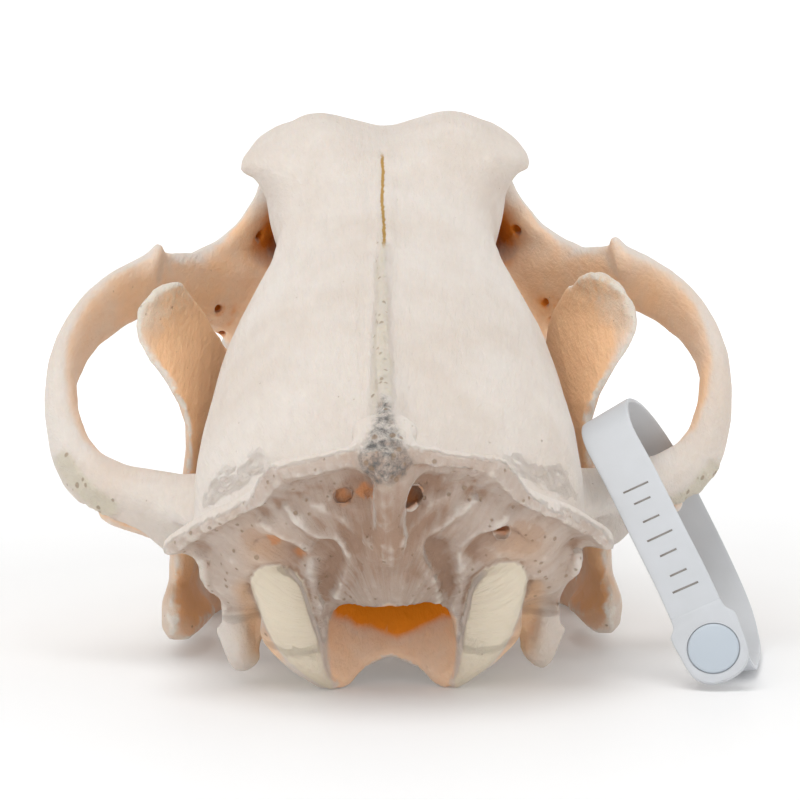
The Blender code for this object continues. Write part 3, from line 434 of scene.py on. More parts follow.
def finished(obj, material, slot, matrix, *nodes):
    obj.data.transform(matrix)
    obj.data.materials.clear()
    obj.data.materials.append(material)
    obj.data.shade_smooth()
    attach(obj, "root")
    if nodes:
        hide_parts(*nodes)


def bulge_of(obj, rounds):
    """How far each point stands out from the bone around it, in millimetres."""
    ends = np.empty(len(obj.data.edges) * 2, np.int32)
    obj.data.edges.foreach_get("vertices", ends)
    first, second = ends.reshape(-1, 2).T
    points = points_of(obj)
    count = len(points)
    ties = np.bincount(first, minlength=count) + np.bincount(second, minlength=count)
    even = points.copy()
    for _ in range(rounds):
        total = np.stack([
            np.bincount(first, even[second, k], count) + np.bincount(second, even[first, k], count)
            for k in range(3)], axis=1)
        even = 0.5 * even + 0.5 * total / np.maximum(ties, 1)[:, None]
    return ((points - even) * normals_of(obj)).sum(1)


def set_attribute(obj, name, values):
    attribute = obj.data.attributes.new(name, "FLOAT", "POINT")
    attribute.data.foreach_set("value", np.clip(values, 0, 1).astype(np.float32))


def set_vector_attribute(obj, name, values):
    attribute = obj.data.attributes.new(name, "FLOAT_VECTOR", "POINT")
    attribute.data.foreach_set("vector", values.astype(np.float32).ravel())


def openness(obj, samples=9000, rays=22, reach=34.0, lift=1.3):
    """How much of the space over each point is free of bone, from 0 to 1."""
    whole = cad_copy("whole_bone", BONE_NODES)
    tree = BVHTree.FromObject(whole, bpy.context.evaluated_depsgraph_get())
    points, normals = points_of(obj), normals_of(obj)
    chosen = np.arange(0, len(points), max(1, len(points) // samples))
    directions = []
    for k in range(rays):
        z = (k + 0.5) / rays
        level = math.sqrt(1 - z * z)
        turn = GOLDEN_ANGLE * k
        directions.append(Vector((level * math.cos(turn), level * math.sin(turn), z)))
    free = np.zeros(len(chosen))
    for n, index in enumerate(chosen):
        normal = Vector(normals[index])
        start = Vector(points[index]) + normal * lift
        turn = Vector((0, 0, 1)).rotation_difference(normal)
        total = 0.0
        for direction in directions:
            hit = tree.ray_cast(start, turn @ direction, reach)
            total += 1.0 if hit[0] is None else (hit[3] / reach) ** 0.8 * 0.9
        free[n] = total / rays
    remove([whole])
    kd = KDTree(len(chosen))
    for n, index in enumerate(chosen):
        kd.insert(points[index], n)
    kd.balance()
    spread = np.empty(len(points))
    for i, point in enumerate(points):
        found = kd.find_n(point, 5)
        weights = [1.0 / (d + 0.3) ** 2 for _, _, d in found]
        spread[i] = sum(w * free[n] for w, (_, n, _) in zip(weights, found)) / sum(weights)
    return spread


# Materials

def feed(tree, value, socket):
    """Links another socket to this one, or gives it a plain value."""
    if isinstance(value, bpy.types.NodeSocket):
        tree.links.new(value, socket)
    elif value is not None:
        socket.default_value = value


def add_node(tree, kind, inputs=None, **settings):
    """A node with its settings, each of its inputs linked or given a value."""
    node = tree.nodes.new(kind)
    node.location = (NODE_GAP * len(tree.nodes), 0)
    for key, value in settings.items():
        setattr(node, key, value)
    for key, value in (inputs or {}).items():
        feed(tree, value, node.inputs[key])
    return node


def new_group(name, inputs, outputs):
    """A shader node group with named sockets, each given as name, kind and default."""
    group = bpy.data.node_groups.new(name, "ShaderNodeTree")
    for label, kind, default in inputs:
        socket = group.interface.new_socket(label, in_out="INPUT", socket_type=kind)
        if default is not None:
            socket.default_value = default
    for label, kind in outputs:
        group.interface.new_socket(label, in_out="OUTPUT", socket_type=kind)
    return group, add_node(group, "NodeGroupInput").outputs


def blended(tree, factor, first, second, blend="MIX"):
    """A colour mixed from two."""
    node = add_node(tree, "ShaderNodeMix", {0: factor, 6: first, 7: second},
                    data_type="RGBA", blend_type=blend)
    return node.outputs[2]


def math_node(tree, operation, first, second=None):
    return add_node(tree, "ShaderNodeMath", {0: first, 1: second}, operation=operation).outputs[0]


def ranged(tree, value, low, high, to_low=0.0, to_high=1.0):
    return add_node(tree, "ShaderNodeMapRange", {
        "Value": value, "From Min": low, "From Max": high,
        "To Min": to_low, "To Max": to_high}).outputs["Result"]


def attribute(tree, name, output="Fac"):
    node = add_node(tree, "ShaderNodeAttribute", attribute_name=name, attribute_type="GEOMETRY")
    return node.outputs[output]


def noise_node(tree, vector, scale, detail, roughness):
    return add_node(tree, "ShaderNodeTexNoise", {
        "Vector": vector, "Scale": scale, "Detail": detail, "Roughness": roughness}).outputs["Fac"]


def bumped(tree, height, strength, distance):
    """The normal of a surface that a height lifts."""
    return add_node(tree, "ShaderNodeBump", {
        "Height": height, "Strength": strength, "Distance": distance}).outputs["Normal"]


def grain_group():
    """Fine bone grain: mottling, streaks along the fibres, pores and the height they give."""
    group, source = new_group("bone grain", [
        ("Place", "NodeSocketVector", None), ("Fibre", "NodeSocketVector", None),
        ("Crumble", "NodeSocketFloat", 0.0), ("Pores", "NodeSocketFloat", 0.3),
    ], [(label, "NodeSocketFloat") for label in ("Mottle", "Streak", "Crumb", "Pit", "Height")])
    where, crumble = source["Place"], source["Crumble"]
    streak = noise_node(group, source["Fibre"], 1.0, 4.0, 0.6)
    hair = noise_node(group, source["Fibre"], 2.6, 3.0, 0.65)
    fine = noise_node(group, where, 900.0, 3.0, 0.6)
    crumb = noise_node(group, where, 650.0, 5.0, 0.75)
    cells = add_node(group, "ShaderNodeTexVoronoi", {"Vector": where, "Scale": 420.0, "Randomness": 1.0})
    spread = ranged(group, noise_node(group, where, 90.0, 3.0, 0.6), 0.45, 0.75, 0.04, 0.26)
    wanted = math_node(group, "ADD", math_node(group, "MULTIPLY", spread, source["Pores"]),
                       math_node(group, "MULTIPLY", crumble, 0.24))
    pit = ranged(group, math_node(group, "SUBTRACT", wanted, cells.outputs["Distance"]), 0.0, 0.10)
    height = math_node(group, "MULTIPLY", fine, 0.25)
    for part, share in ((streak, 0.9), (hair, 0.6), (math_node(group, "MULTIPLY", crumb, crumble), 3.4),
                        (pit, -0.9)):
        height = math_node(group, "ADD", height, math_node(group, "MULTIPLY", part, share))
    add_node(group, "NodeGroupOutput", {"Mottle": noise_node(group, where, 55.0, 6.0, 0.6), "Streak": streak,
                                        "Crumb": crumb, "Pit": pit, "Height": height})
    return group


def tint_group():
    """Lays one colour over another where a mask, broken up by a pattern, says so."""
    group, source = new_group("patchy tint", [
        ("Base", "NodeSocketColor", None), ("Tint", "NodeSocketColor", None),
        ("Mask", "NodeSocketFloat", 0.0), ("Pattern", "NodeSocketFloat", 0.5),
        ("Break", "NodeSocketFloat", 0.5),
    ], [("Color", "NodeSocketColor"), ("Mask", "NodeSocketFloat")])
    centred = math_node(group, "SUBTRACT", source["Pattern"], 0.5)
    shift = math_node(group, "MULTIPLY", centred, source["Break"])
    lifted = math_node(group, "ADD", source["Mask"], math_node(group, "MULTIPLY", shift, 4.0))
    shown = ranged(group, math_node(group, "MULTIPLY", lifted, source["Mask"]), 0.0, 0.8)
    add_node(group, "NodeGroupOutput", {
        "Color": blended(group, shown, source["Base"], source["Tint"]), "Mask": shown})
    return group


def shared_group(name, builder):
    """A node group that several finishes use, built once."""
    return bpy.data.node_groups.get(name) or builder()


def rgba(colour):
    return (*colour, 1.0)


def tinted(tree, base, tint, mask, pattern, breaking):
    """The base colour with a patchy tint over it."""
    return add_node(tree, "ShaderNodeGroup", {
        "Base": base, "Tint": rgba(tint), "Mask": mask, "Pattern": pattern, "Break": breaking,
    }, node_tree=shared_group("patchy tint", tint_group)).outputs["Color"]


def new_material(name):
    """A material with its tree, its shader and the place on the object."""
    material = bpy.data.materials.new(name)
    material.use_nodes = True
    tree = material.node_tree
    place = add_node(tree, "ShaderNodeTexCoord").outputs["Object"]
    return material, tree, tree.nodes["Principled BSDF"], place


def finish_with(tree, shader, values):
    for key, value in values.items():
        feed(tree, value, shader.inputs[key])


def bone_material(name, settings, masks):
    """Dry bone. A mask is an attribute's name, its colour, how far it is broken up and by what."""
    material, tree, shader, where = new_material(name)
    grain = add_node(tree, "ShaderNodeGroup", {
        "Place": where, "Fibre": attribute(tree, "fibre", "Vector"), "Crumble": attribute(tree, "crumble"),
        "Pores": settings.pores}, node_tree=shared_group("bone grain", grain_group)).outputs
    colour = blended(tree, ranged(tree, grain["Mottle"], 0.36, 0.64), rgba(settings.ivory),
                     rgba(settings.ivory_shade))
    for mask, tint, breaking, pattern in masks:
        colour = tinted(tree, colour, tint, attribute(tree, mask), grain[pattern], breaking)
    tone = ranged(tree, grain["Streak"], 0.25, 0.75, 0.965, 1.03)
    grey = add_node(tree, "ShaderNodeCombineColor", {0: tone, 1: tone, 2: tone})
    colour = blended(tree, 1.0, colour, grey.outputs[0], "MULTIPLY")
    finish_with(tree, shader, {
        "Base Color": blended(tree, math_node(tree, "MULTIPLY", grain["Pit"], 0.62), colour,
                              rgba(settings.pore_colour)),
        "Roughness": ranged(tree, grain["Mottle"], 0.3, 0.7, 0.50, 0.66),
        "Normal": bumped(tree, grain["Height"], 0.7, 0.0005),
        "Specular IOR Level": 0.32, "Subsurface Weight": 0.12, "Subsurface Radius": (1.0, 0.5, 0.25),
        "Subsurface Scale": 0.002})
    return material


def lit_through(material, colour):
    """Lets the thin bone round the brain's room glow a little, as light passes through it."""
    tree = material.node_tree
    finish_with(tree, tree.nodes["Principled BSDF"], {
        "Emission Color": rgba(colour), "Emission Strength": attribute(tree, "glow")})


def open_suture(material, colour):
    """Draws the open suture as a thin wavy line over the bone's own colour."""
    tree = material.node_tree
    base = tree.nodes["Principled BSDF"].inputs["Base Color"]
    where = add_node(tree, "ShaderNodeTexCoord").outputs["Object"]
    wave = math_node(tree, "SUBTRACT", noise_node(tree, where, 700.0, 3.0, 0.6), 0.5)
    off = math_node(tree, "ADD", math_node(tree, "SUBTRACT", attribute(tree, "suture_side"), 0.5),
                    math_node(tree, "MULTIPLY", wave, 0.10))
    line = ranged(tree, math_node(tree, "ABSOLUTE", off), 0.030, 0.046, 1.0, 0.0)
    line = math_node(tree, "MULTIPLY", line, attribute(tree, "suture_run"))
    feed(tree, blended(tree, line, base.links[0].from_socket, rgba(colour)), base)


def enamel_material(settings):
    """Tooth enamel, yellower towards the gum and darker in its fine cracks."""
    material, tree, shader, where = new_material("enamel")
    cloud = noise_node(tree, where, 260.0, 4.0, 0.6)
    cracks = add_node(tree, "ShaderNodeTexVoronoi", {"Vector": where, "Scale": 150.0},
                      feature="DISTANCE_TO_EDGE").outputs["Distance"]
    colour = blended(tree, ranged(tree, cloud, 0.35, 0.7),
                     rgba(settings.enamel), rgba(settings.enamel_shade))
    colour = tinted(tree, colour, settings.root_colour, attribute(tree, "neck"), cloud, 0.4)
    finish_with(tree, shader, {
        "Base Color": blended(tree, ranged(tree, cracks, 0.0, 0.02, 0.16, 0.0), colour,
                              rgba(settings.crack_colour)),
        "Roughness": ranged(tree, cloud, 0.3, 0.7, 0.22, 0.36),
        "Normal": bumped(tree, cracks, 0.3, 0.0002), "Specular IOR Level": 0.5})
    return material


def plastic_material(name, colour, shade, roughness):
    """Moulded plastic with faint scuffs and flow marks."""
    material, tree, shader, where = new_material(name)
    scuff = noise_node(tree, where, 1500.0, 3.0, 0.7)
    cloud = ranged(tree, noise_node(tree, where, 70.0, 4.0, 0.6), 0.35, 0.72)
    finish_with(tree, shader, {
        "Base Color": blended(tree, cloud, rgba(colour), rgba(shade)),
        "Roughness": ranged(tree, scuff, 0.3, 0.7, roughness - 0.05, roughness + 0.09),
        "Normal": bumped(tree, scuff, 0.12, 0.0001)})
    return material


def floor_material(stage):
    """A pale sweep that is lit from behind, more so away from the skull."""
    material, tree, shader, where = new_material("pale floor")
    away = add_node(tree, "ShaderNodeVectorMath", {0: where}, operation="LENGTH").outputs["Value"]
    finish_with(tree, shader, {
        "Emission Strength": ranged(tree, away, 0.12, 0.7, stage.glow, stage.wall_glow),
        "Emission Color": (1, 1, 1, 1), "Base Color": rgba(stage.floor), "Roughness": 0.55,
        "Specular IOR Level": 0.2})
    return material


# Skull

CREST_EDGE = (
    (40.6, 23.0, 24.0), (41.4, 21.4, 26.4), (37.2, 17.6, 31.0), (33.2, 13.8, 35.3), (28.0, 9.4, 39.2),
    (23.9, 6.0, 43.0), (21.6, 4.4, 46.6), (19.2, 3.0, 49.9), (15.4, 1.2, 51.2), (12.0, 0.0, 52.2),
    (8.0, -0.8, 53.4), (5.3, -1.2, 54.0),
)

# Outlines in the photograph's pixels
CONDYLE_LEFT = ((267, 565), (256, 571), (251, 580), (253, 592), (260, 610), (268, 630), (277, 646),
                (290, 662), (303, 673), (318, 683), (333, 690), (338, 684), (331, 676), (326, 663),
                (321, 640), (315, 622), (310, 604), (304, 584), (296, 573), (282, 566))
CONDYLE_RIGHT = ((513, 562), (523, 567), (527, 579), (525, 593), (518, 616), (511, 634), (501, 651),
                 (487, 667), (470, 680), (455, 689), (450, 683), (456, 668), (460, 648), (463, 622),
                 (467, 598), (473, 581), (484, 570), (498, 564))
GREY_PATCH = ((383, 396), (378, 412), (372, 430), (366, 448), (359, 456), (361, 468), (368, 477),
              (374, 484), (384, 483), (394, 482), (404, 473), (413, 463), (406, 454), (399, 437),
              (391, 414), (387, 399))
BASION_NOTCH = ((351, 690), (353, 676), (360, 664), (367, 654), (375, 648), (384, 645.5), (402, 645.5),
                (413, 655), (424, 666), (434, 678), (438, 690))
FOSSA_LEFT = ((244, 590), (249, 606), (256, 626), (265, 645), (274, 658))
FOSSA_RIGHT = ((534, 590), (530, 606), (524, 626), (515, 645), (505, 658))
MASTOID_LEFT = ((158, 552), (170, 553), (184, 552), (196, 557), (202, 563), (200, 574), (207, 588),
                (222, 599), (223, 626), (190, 632), (160, 600))
MASTOID_RIGHT = ((618, 549), (604, 549), (592, 547), (579, 546), (581, 557), (578, 572), (566, 584),
                 (559, 599), (560, 626), (592, 630), (616, 596))
MASTOID_REACH = 558.0
CORONOID_EDGE = ((150, 268), (160, 281), (181, 282), (192, 297), (206, 315), (212, 329), (220, 338),
                 (226, 352), (244, 340), (236, 296), (206, 264))
POROUS_LEFT = ((64, 462), (76, 480), (93, 498), (108, 508))
POROUS_RIGHT = ((714, 470), (700, 489), (684, 502), (664, 508))
FORAMEN = ((326, 656), (327, 620), (337, 611), (350, 609), (368, 610), (388, 602), (402, 605), (432, 606),
           (452, 611), (458, 618), (458, 647), (455, 690), (332, 690))
CAVE_GLOW = ((336, 606), (338, 614), (352, 617), (358, 624), (372, 623), (383, 629), (397, 634), (410, 629),
             (425, 621), (440, 615), (453, 613), (450, 600), (388, 594))
SUTURE = ((382, 150), (383, 175), (382, 200), (384, 225), (384, 247))

# Strokes on the occiput and the vault: pixels of the photograph, half width and height in mm
OCCIPUT_STROKES = (
    (FOSSA_LEFT, 2.2, -1.4),
    (FOSSA_RIGHT, 2.2, -1.4),
    (((290, 505), (302, 520), (318, 531), (335, 535), (346, 546), (349, 560), (343, 578),
      (336, 592)), 1.3, 1.5),
    (((472, 500), (455, 512), (438, 523), (424, 532), (418, 545), (424, 562), (434, 580),
      (438, 595)), 1.3, 1.5),
    (((262, 522), (280, 534), (298, 543), (308, 560), (313, 585), (318, 608)), 1.4, 1.1),
    (((504, 520), (490, 528), (476, 534), (465, 544), (461, 560), (460, 585), (457, 608)), 1.4, 1.1),
    (((326, 548), (330, 565), (326, 582)), 3.0, -1.6),
    (((438, 550), (444, 568), (448, 585)), 3.0, -1.6),
    (((252, 546), (268, 549), (286, 556), (298, 562)), 2.6, -2.6),
    (((528, 541), (510, 541), (490, 544), (474, 556)), 2.6, -2.6),
    (((345, 500), (356, 492), (364, 484)), 2.6, -1.8),
    (((410, 500), (420, 493), (436, 488)), 2.6, -1.8),
    (((366, 496), (371, 512), (372, 530)), 2.8, -0.4),
    (((400, 496), (400, 510), (402, 526)), 2.8, -0.4),
    (((384, 486), (384, 510), (386, 540), (386, 566)), 3.0, 0.5),
    (((300, 482), (320, 480), (350, 474)), 1.6, -1.0),
    (((420, 470), (450, 470), (478, 474)), 1.6, -1.0),
    (((350, 574), (385, 580), (418, 574)), 4.0, -1.2),
    (((340, 598), (385, 600), (430, 598)), 2.6, 0.8),
    (((276, 492), (310, 502), (345, 520), (372, 545)), 1.0, 0.5),
    (((284, 486), (322, 494), (352, 510)), 0.9, 0.4),
    (((488, 480), (452, 492), (424, 512), (402, 540)), 1.0, 0.5),
    (((482, 472), (446, 482), (424, 500)), 0.9, 0.4),
    (((205, 560), (212, 572), (222, 588)), 2.0, 0.8),
    (((575, 556), (566, 572), (556, 584)), 2.0, 0.8),
    (((236, 590), (234, 620), (240, 655)), 2.2, 0.5),
    (((252, 600), (258, 630), (256, 652)), 1.8, -0.7),
    (((534, 590), (536, 620), (530, 645)), 1.8, -0.7),
)
VAULT_STROKES = (
    (SUTURE, 0.6, -0.5),
    (((375, 186), (376, 205), (378, 240)), 1.2, 0.2),
    (((391, 186), (391, 205), (391, 240)), 1.2, 0.2),
    (((384, 246), (382, 280), (381, 320), (381, 360), (382, 400)), 1.1, 0.9),
    (((372, 300), (370, 340), (368, 384)), 1.8, -0.5),
    (((392, 300), (394, 340), (396, 384)), 1.8, -0.5),
    (((366, 178), (368, 200), (372, 232)), 0.8, -0.35),
    (((398, 176), (397, 200), (394, 228)), 0.8, -0.35),
    (((404, 186), (402, 206), (399, 222)), 0.7, 0.3),
    (((362, 330), (366, 290), (370, 250)), 1.6, -0.4),
    (((398, 330), (395, 290), (393, 250)), 1.6, -0.4),
)
# Openings: the pixel that shows each, its width and its depth in millimetres. The first are at the back
SEEN_THROUGH = 5
FORAMINA = (
    ((341, 498), 2.0, 5.0), ((361, 492), 1.8, 5.0), ((414, 500), 2.8, 4.0), ((275, 540), 1.9, 6.0),
    ((502, 531), 1.9, 6.0), ((404, 507), 1.0, 2.5), ((372, 514), 0.8, 2.5), ((300, 556), 0.8, 2.5),
    ((260, 236), 2.6, 3.4), ((516, 230), 2.8, 3.4),
    ((219, 309), 2.3, 5.0), ((231, 308), 2.1, 5.0), ((222, 334), 1.9, 4.0), ((213, 321), 1.5, 4.0),
    ((228, 321), 1.4, 4.0), ((216, 298), 1.3, 4.0), ((545, 302), 2.1, 5.0), ((560, 309), 2.3, 5.0),
    ((551, 319), 1.8, 4.0), ((538, 313), 1.4, 4.0), ((566, 320), 1.4, 4.0), ((556, 297), 1.3, 4.0),
)


def opening_at(tree, pixel):
    """Where an opening meets the bone, and its way in."""
    direction = sight(*pixel)
    hit, normal, _, _ = tree.ray_cast(EYE, direction)
    return hit, (direction * 0.55 - normal * 0.45).normalized()


def drilled(hit, inward, width, depth):
    """A cutter from above the bone into it, flared at its mouth."""
    rows = [(*(hit - inward * 2.5), width * 1.1, width * 1.1), (*hit, width * 0.95, width * 0.95),
            (*(hit + inward * depth * 0.4), width * 0.9, width * 0.9),
            (*(hit + inward * depth), width * 0.7, width * 0.7)]
    return limb("opening", rows, up=(0.3, 0.2, 1.0), steps=1, sides=12)


def sight_prism(name, outline, near, far):
    """A cutter whose outline the photograph shows, between two distances from its eye."""
    bm = bmesh.new()
    ring = [bm.verts.new(EYE + sight(u, v) * near) for u, v in outline]
    face = bm.faces.new(ring)
    made = bmesh.ops.extrude_face_region(bm, geom=[face])["geom"]
    verts = [g for g in made if isinstance(g, bmesh.types.BMVert)]
    for vert in verts:
        vert.co = EYE + (vert.co - EYE) * (far / near)
    bmesh.ops.recalc_face_normals(bm, faces=bm.faces[:])
    return store(bm, name)


def nose_plates():
    """The thin plates inside the nose: the septum and two scrolls on each side."""
    made = [limb("septum", [
        (0, 150.0, 30.0, 1.4, 24.0), (0, 200.0, 24.0, 1.4, 24.0), (0, 233.0, 19.0, 1.4, 20.0),
    ])]
    for side in (1, -1):
        made.append(limb("upper_scroll", sided([
            (4.0, 160.0, 34.0, 1.3, 9.0), (4.6, 200.0, 29.0, 1.3, 9.0), (5.0, 236.0, 25.0, 1.3, 6.0),
        ], side), up=(0.45 * side, 0, 1)))
        for rise, reach in ((15.0, 3.0), (19.5, 0.0)):
            made.append(limb("lower_scroll", sided([
                (5.4, 170.0, rise + 8.0, 7.0, 1.3), (6.0, 205.0, rise + 4.0, 8.0, 1.3),
                (6.0, 236.0 + reach, rise, 6.0, 1.3),
            ], side), up=(0.35 * side, 0, 1)))
    return made


def crest_parts():
    """The sharp edges and the lumps that the plain solids round off."""
    made = []
    for side in (1, -1):
        rows = [(x * side, y + 1.9, z - 0.7, 5.6, 1.9) for x, y, z in CREST_EDGE]
        made.append(limb("crest_lip", rows, up=(0, -0.62, 0.78), steps=3, sides=10))
        made.append(limb("jugal_tip", sided([
            (51.6, 125.0, 45.6, 4.6, 6.0), (50.2, 128.2, 48.0, 3.2, 4.6), (49.5, 130.2, 50.2, 1.6, 1.8),
        ], side), up=(0, 1, 0), sides=12))
        for x, y, z, size in ((36.6, 22.6, 22.0, 3.4), (35.4, 24.0, 18.2, 3.6), (33.6, 25.0, 14.4, 3.4),
                              (37.8, 27.0, 19.6, 3.2)):
            made.append(bead("mastoid_lump", (x * side, y, z), (size, size * 1.2, size * 1.1)))
    made.append(limb("protuberance", [
        (-0.4, 9.0, 55.0, 13.0, 8.0), (-0.6, 3.0, 54.4, 11.0, 6.0), (-0.8, -0.6, 53.0, 8.4, 4.4),
        (-0.9, -2.2, 51.0, 4.0, 3.0), (-1.0, -2.6, 49.9, 1.6, 1.6),
    ], up=(0, 0.4, 1), sides=14))
    return made


def skull_openings(skull):
    """The small openings that the photograph shows, each with its place, way in, width and depth."""
    tree = BVHTree.FromObject(skull, bpy.context.evaluated_depsgraph_get())
    return [(*opening_at(tree, pixel), width, depth) for pixel, width, depth in FORAMINA]


def skull_cutters(openings):
    """The teeth's room, the foramina and the passages seen from the sides and below."""
    made = [block("tooth_room", (-50, 147.6, -40), (50, 280, -0.3)),
            block("molar_room_right", (18.6, 140.0, -40), (50, 150, -0.3)),
            block("molar_room_left", (-50, 140.0, -40), (-18.6, 150, -0.3))]
    made += [drilled(*opening) for opening in openings]
    made.append(sight_prism("basion_notch", BASION_NOTCH, 470.0, 512.0))
    made.append(sight_prism("mastoid_edge", MASTOID_LEFT, 470.0, MASTOID_REACH))
    made.append(sight_prism("mastoid_edge", MASTOID_RIGHT, 470.0, MASTOID_REACH))
    for side in (1, -1):
        made.append(limb("infraorbital_canal", sided([
            (33.0, 193.0, 16.0, 5.0, 8.0), (29.5, 186.0, 17.0, 4.4, 7.4), (27.0, 178.0, 18.0, 3.4, 5.6),
            (26.0, 172.0, 18.4, 2.0, 3.6),
        ], side), sides=16))
        made.append(limb("ear_opening", sided([
            (42.0, 45.0, 12.0, 8.0, 7.0), (33.0, 46.0, 12.4, 7.0, 6.0), (28.0, 46.0, 12.6, 5.0, 4.4),
        ], side), sides=16))
        made.append(limb("optic_canal", sided([
            (20.0, 118.0, 30.0, 5.0, 5.0), (15.0, 108.0, 28.0, 4.4, 4.4), (11.0, 100.0, 27.0, 3.0, 3.0),
        ], side), sides=12))
        made.append(limb("orbital_fissure", sided([
            (19.0, 111.0, 23.0, 5.0, 7.0), (14.0, 101.0, 21.0, 4.2, 6.0), (10.0, 94.0, 20.0, 3.0, 4.0),
        ], side), sides=12))
        made.append(limb("oval_foramen", sided([
            (14.0, 64.0, -1.0, 4.4, 5.4), (13.6, 64.0, 5.0, 3.6, 4.6), (13.0, 64.0, 9.0, 2.0, 2.4),
        ], side), up=(0, 1, 0), sides=12))
        made.append(limb("hypoglossal_canal", sided([
            (15.6, 33.0, 0.0, 3.0, 3.4), (15.0, 31.0, 5.4, 2.4, 2.8), (14.4, 30.0, 8.0, 1.6, 1.8),
        ], side), up=(0, 1, 0), sides=12))
        made.append(limb("palatine_fissure", sided([
            (4.6, 251.0, 0.0, 2.4, 11.0), (4.4, 245.0, -3.0, 4.0, 11.0), (4.0, 236.0, 0.0, 3.2, 11.0),
        ], side), sides=14))
        made.append(limb("palatine_foramen", sided([
            (10.0, 196.0, -2.0, 2.2, 3.0), (10.0, 194.0, 4.0, 1.6, 2.2),
        ], side), up=(0, 1, 0), steps=2, sides=12))
    return made


def skull_shape(settings):
    """The whole skull without its teeth as one closed skin, and its small openings."""
    skull = cad_copy("skull_bone", SKULL_NODES)
    skull = joined("skull_bone", [skull] + crest_parts())
    openings = skull_openings(skull)
    carved(fused(skull, 1.0), skull_cutters(openings))
    skull = joined("skull_bone", [skull] + nose_plates())
    fused(skull, settings.voxel / MM)
    stroked(skull, OCCIPUT_STROKES + VAULT_STROKES)
    roughened(skull)
    return thinned(skull, settings.triangles), openings


def occiput_share(points, normals):
    """1 on the plate behind the nuchal crest, 0 elsewhere."""
    x, y, z = points.T
    back = ramp(-normals[:, 1] - 0.35 * np.maximum(normals[:, 2], 0), 0.10, 0.42)
    return back * ramp(y, 34.0, 27.0) * ramp(z, 8.0, 14.0) * ramp(np.abs(x), 44.0, 40.0)


def condyle_depth(points):
    """How many pixels inside the outline of a joint face each point lies."""
    pixels = pixels_of(points)
    depth = np.maximum(within(pixels, CONDYLE_LEFT), within(pixels, CONDYLE_RIGHT))
    return np.where((points[:, 1] < 38.0) & (points[:, 2] < 27.0), depth, -99.0)


def condyle_share(points, normals):
    """1 on the two joint faces at the back."""
    x = points[:, 0]
    outward = ramp(-normals[:, 1] + 0.8 * np.sign(x) * normals[:, 0] - 0.6 * normals[:, 2], -0.7, -0.2)
    return ramp(condyle_depth(points), -2.2, 0.6) * outward


def rough_share(points):
    """1 where the bone is porous: the crest, its bump and the rear corners of the arches."""
    y, z = points[:, 1], points[:, 2]
    pixels = pixels_of(points)
    wide = np.interp(pixels[:, 1], (236, 262, 330, 395), (2.0, 5.0, 8.0, 11.0))
    off = np.abs(pixels[:, 0] - 382.0 + 2.5 * noise(points, 5.0, seed=9))
    ridge = ramp(off, wide + 3.0, wide - 3.0) * ramp(y, 100.0, 88.0) * ramp(z, 46.0, 50.0)
    bump = ramp(within(pixels, GREY_PATCH), -8.0, 3.0) * ramp(y, 40.0, 30.0)
    corner = np.zeros(len(y))
    for path in (POROUS_LEFT, POROUS_RIGHT):
        corner = np.maximum(corner, ramp(distance_to_path(pixels, path), 15.0, 6.0))
    corner *= ramp(y, 92.0, 84.0)
    return np.clip(np.maximum.reduce([0.8 * ridge, bump, corner]), 0, 1)


def roughened(skull):
    """Small swells all over, crumbly relief on the porous places and a jagged crest."""
    points, normals = points_of(skull), normals_of(skull)
    condyles = condyle_share(points, normals)
    plate = occiput_share(points, normals)
    push = 0.16 * noise(points, 9.0, seed=3, octaves=3)
    push += 0.44 * plate * noise(points * np.array((1.0, 0.6, 0.8)), 3.4, seed=5, octaves=3)
    push += 0.30 * plate * noise(fibre_of(points, plate), 1.3, seed=6, octaves=2)
    push += 0.60 * rough_share(points) * noise(points, 2.0, seed=8, octaves=2)
    edge = distance_to_path(points, CREST_EDGE)
    mirrored = points * np.array((-1.0, 1.0, 1.0))
    edge = np.minimum(edge, distance_to_path(mirrored, CREST_EDGE))
    push += 0.7 * np.exp(-(edge / 2.2) ** 2) * noise(points, 4.6, seed=11, octaves=2)
    push *= 1 - 0.9 * condyles
    depth = condyle_depth(points)
    facing = ramp(-normals[:, 1] - 0.8 * normals[:, 2], -0.1, 0.4)
    push += facing * (1.1 * ramp(depth, -1.5, 9.0) - 0.3 * np.exp(-((depth + 3.0) / 2.4) ** 2))
    set_points(skull, points + normals * push[:, None])


def fibre_of(points, plate):
    """Where a point lies along and across the bone's fibres: forward on the vault, and in a fan
    from the foramen magnum on the plate behind."""
    x, y, z = points.T
    fan = np.arctan2(x, z - 12.0)
    reach = np.hypot(x, z - 12.0)
    along = np.stack([x / 1.4, y / 11.0, z / 1.6], axis=1)
    spread = np.stack([fan * 26.0, reach / 9.0, np.full(len(x), 40.0)], axis=1)
    share = ramp(plate, 0.2, 0.6)[:, None]
    return along * (1 - share) + spread * share


def opening_share(points, openings):
    """1 inside the small openings."""
    share = np.zeros(len(points))
    for hit, inward, width, depth in openings:
        away = points - np.array(hit)
        sunk = away @ np.array(inward)
        off = np.sqrt(np.maximum((away * away).sum(1) - sunk * sunk, 0))
        share = np.maximum(share, ramp(off, width * 0.5 + 1.2, width * 0.5 + 0.4) * ramp(sunk, -0.2, 0.8)
                           * ramp(sunk, depth + 2.5, depth + 1.0))
    return share


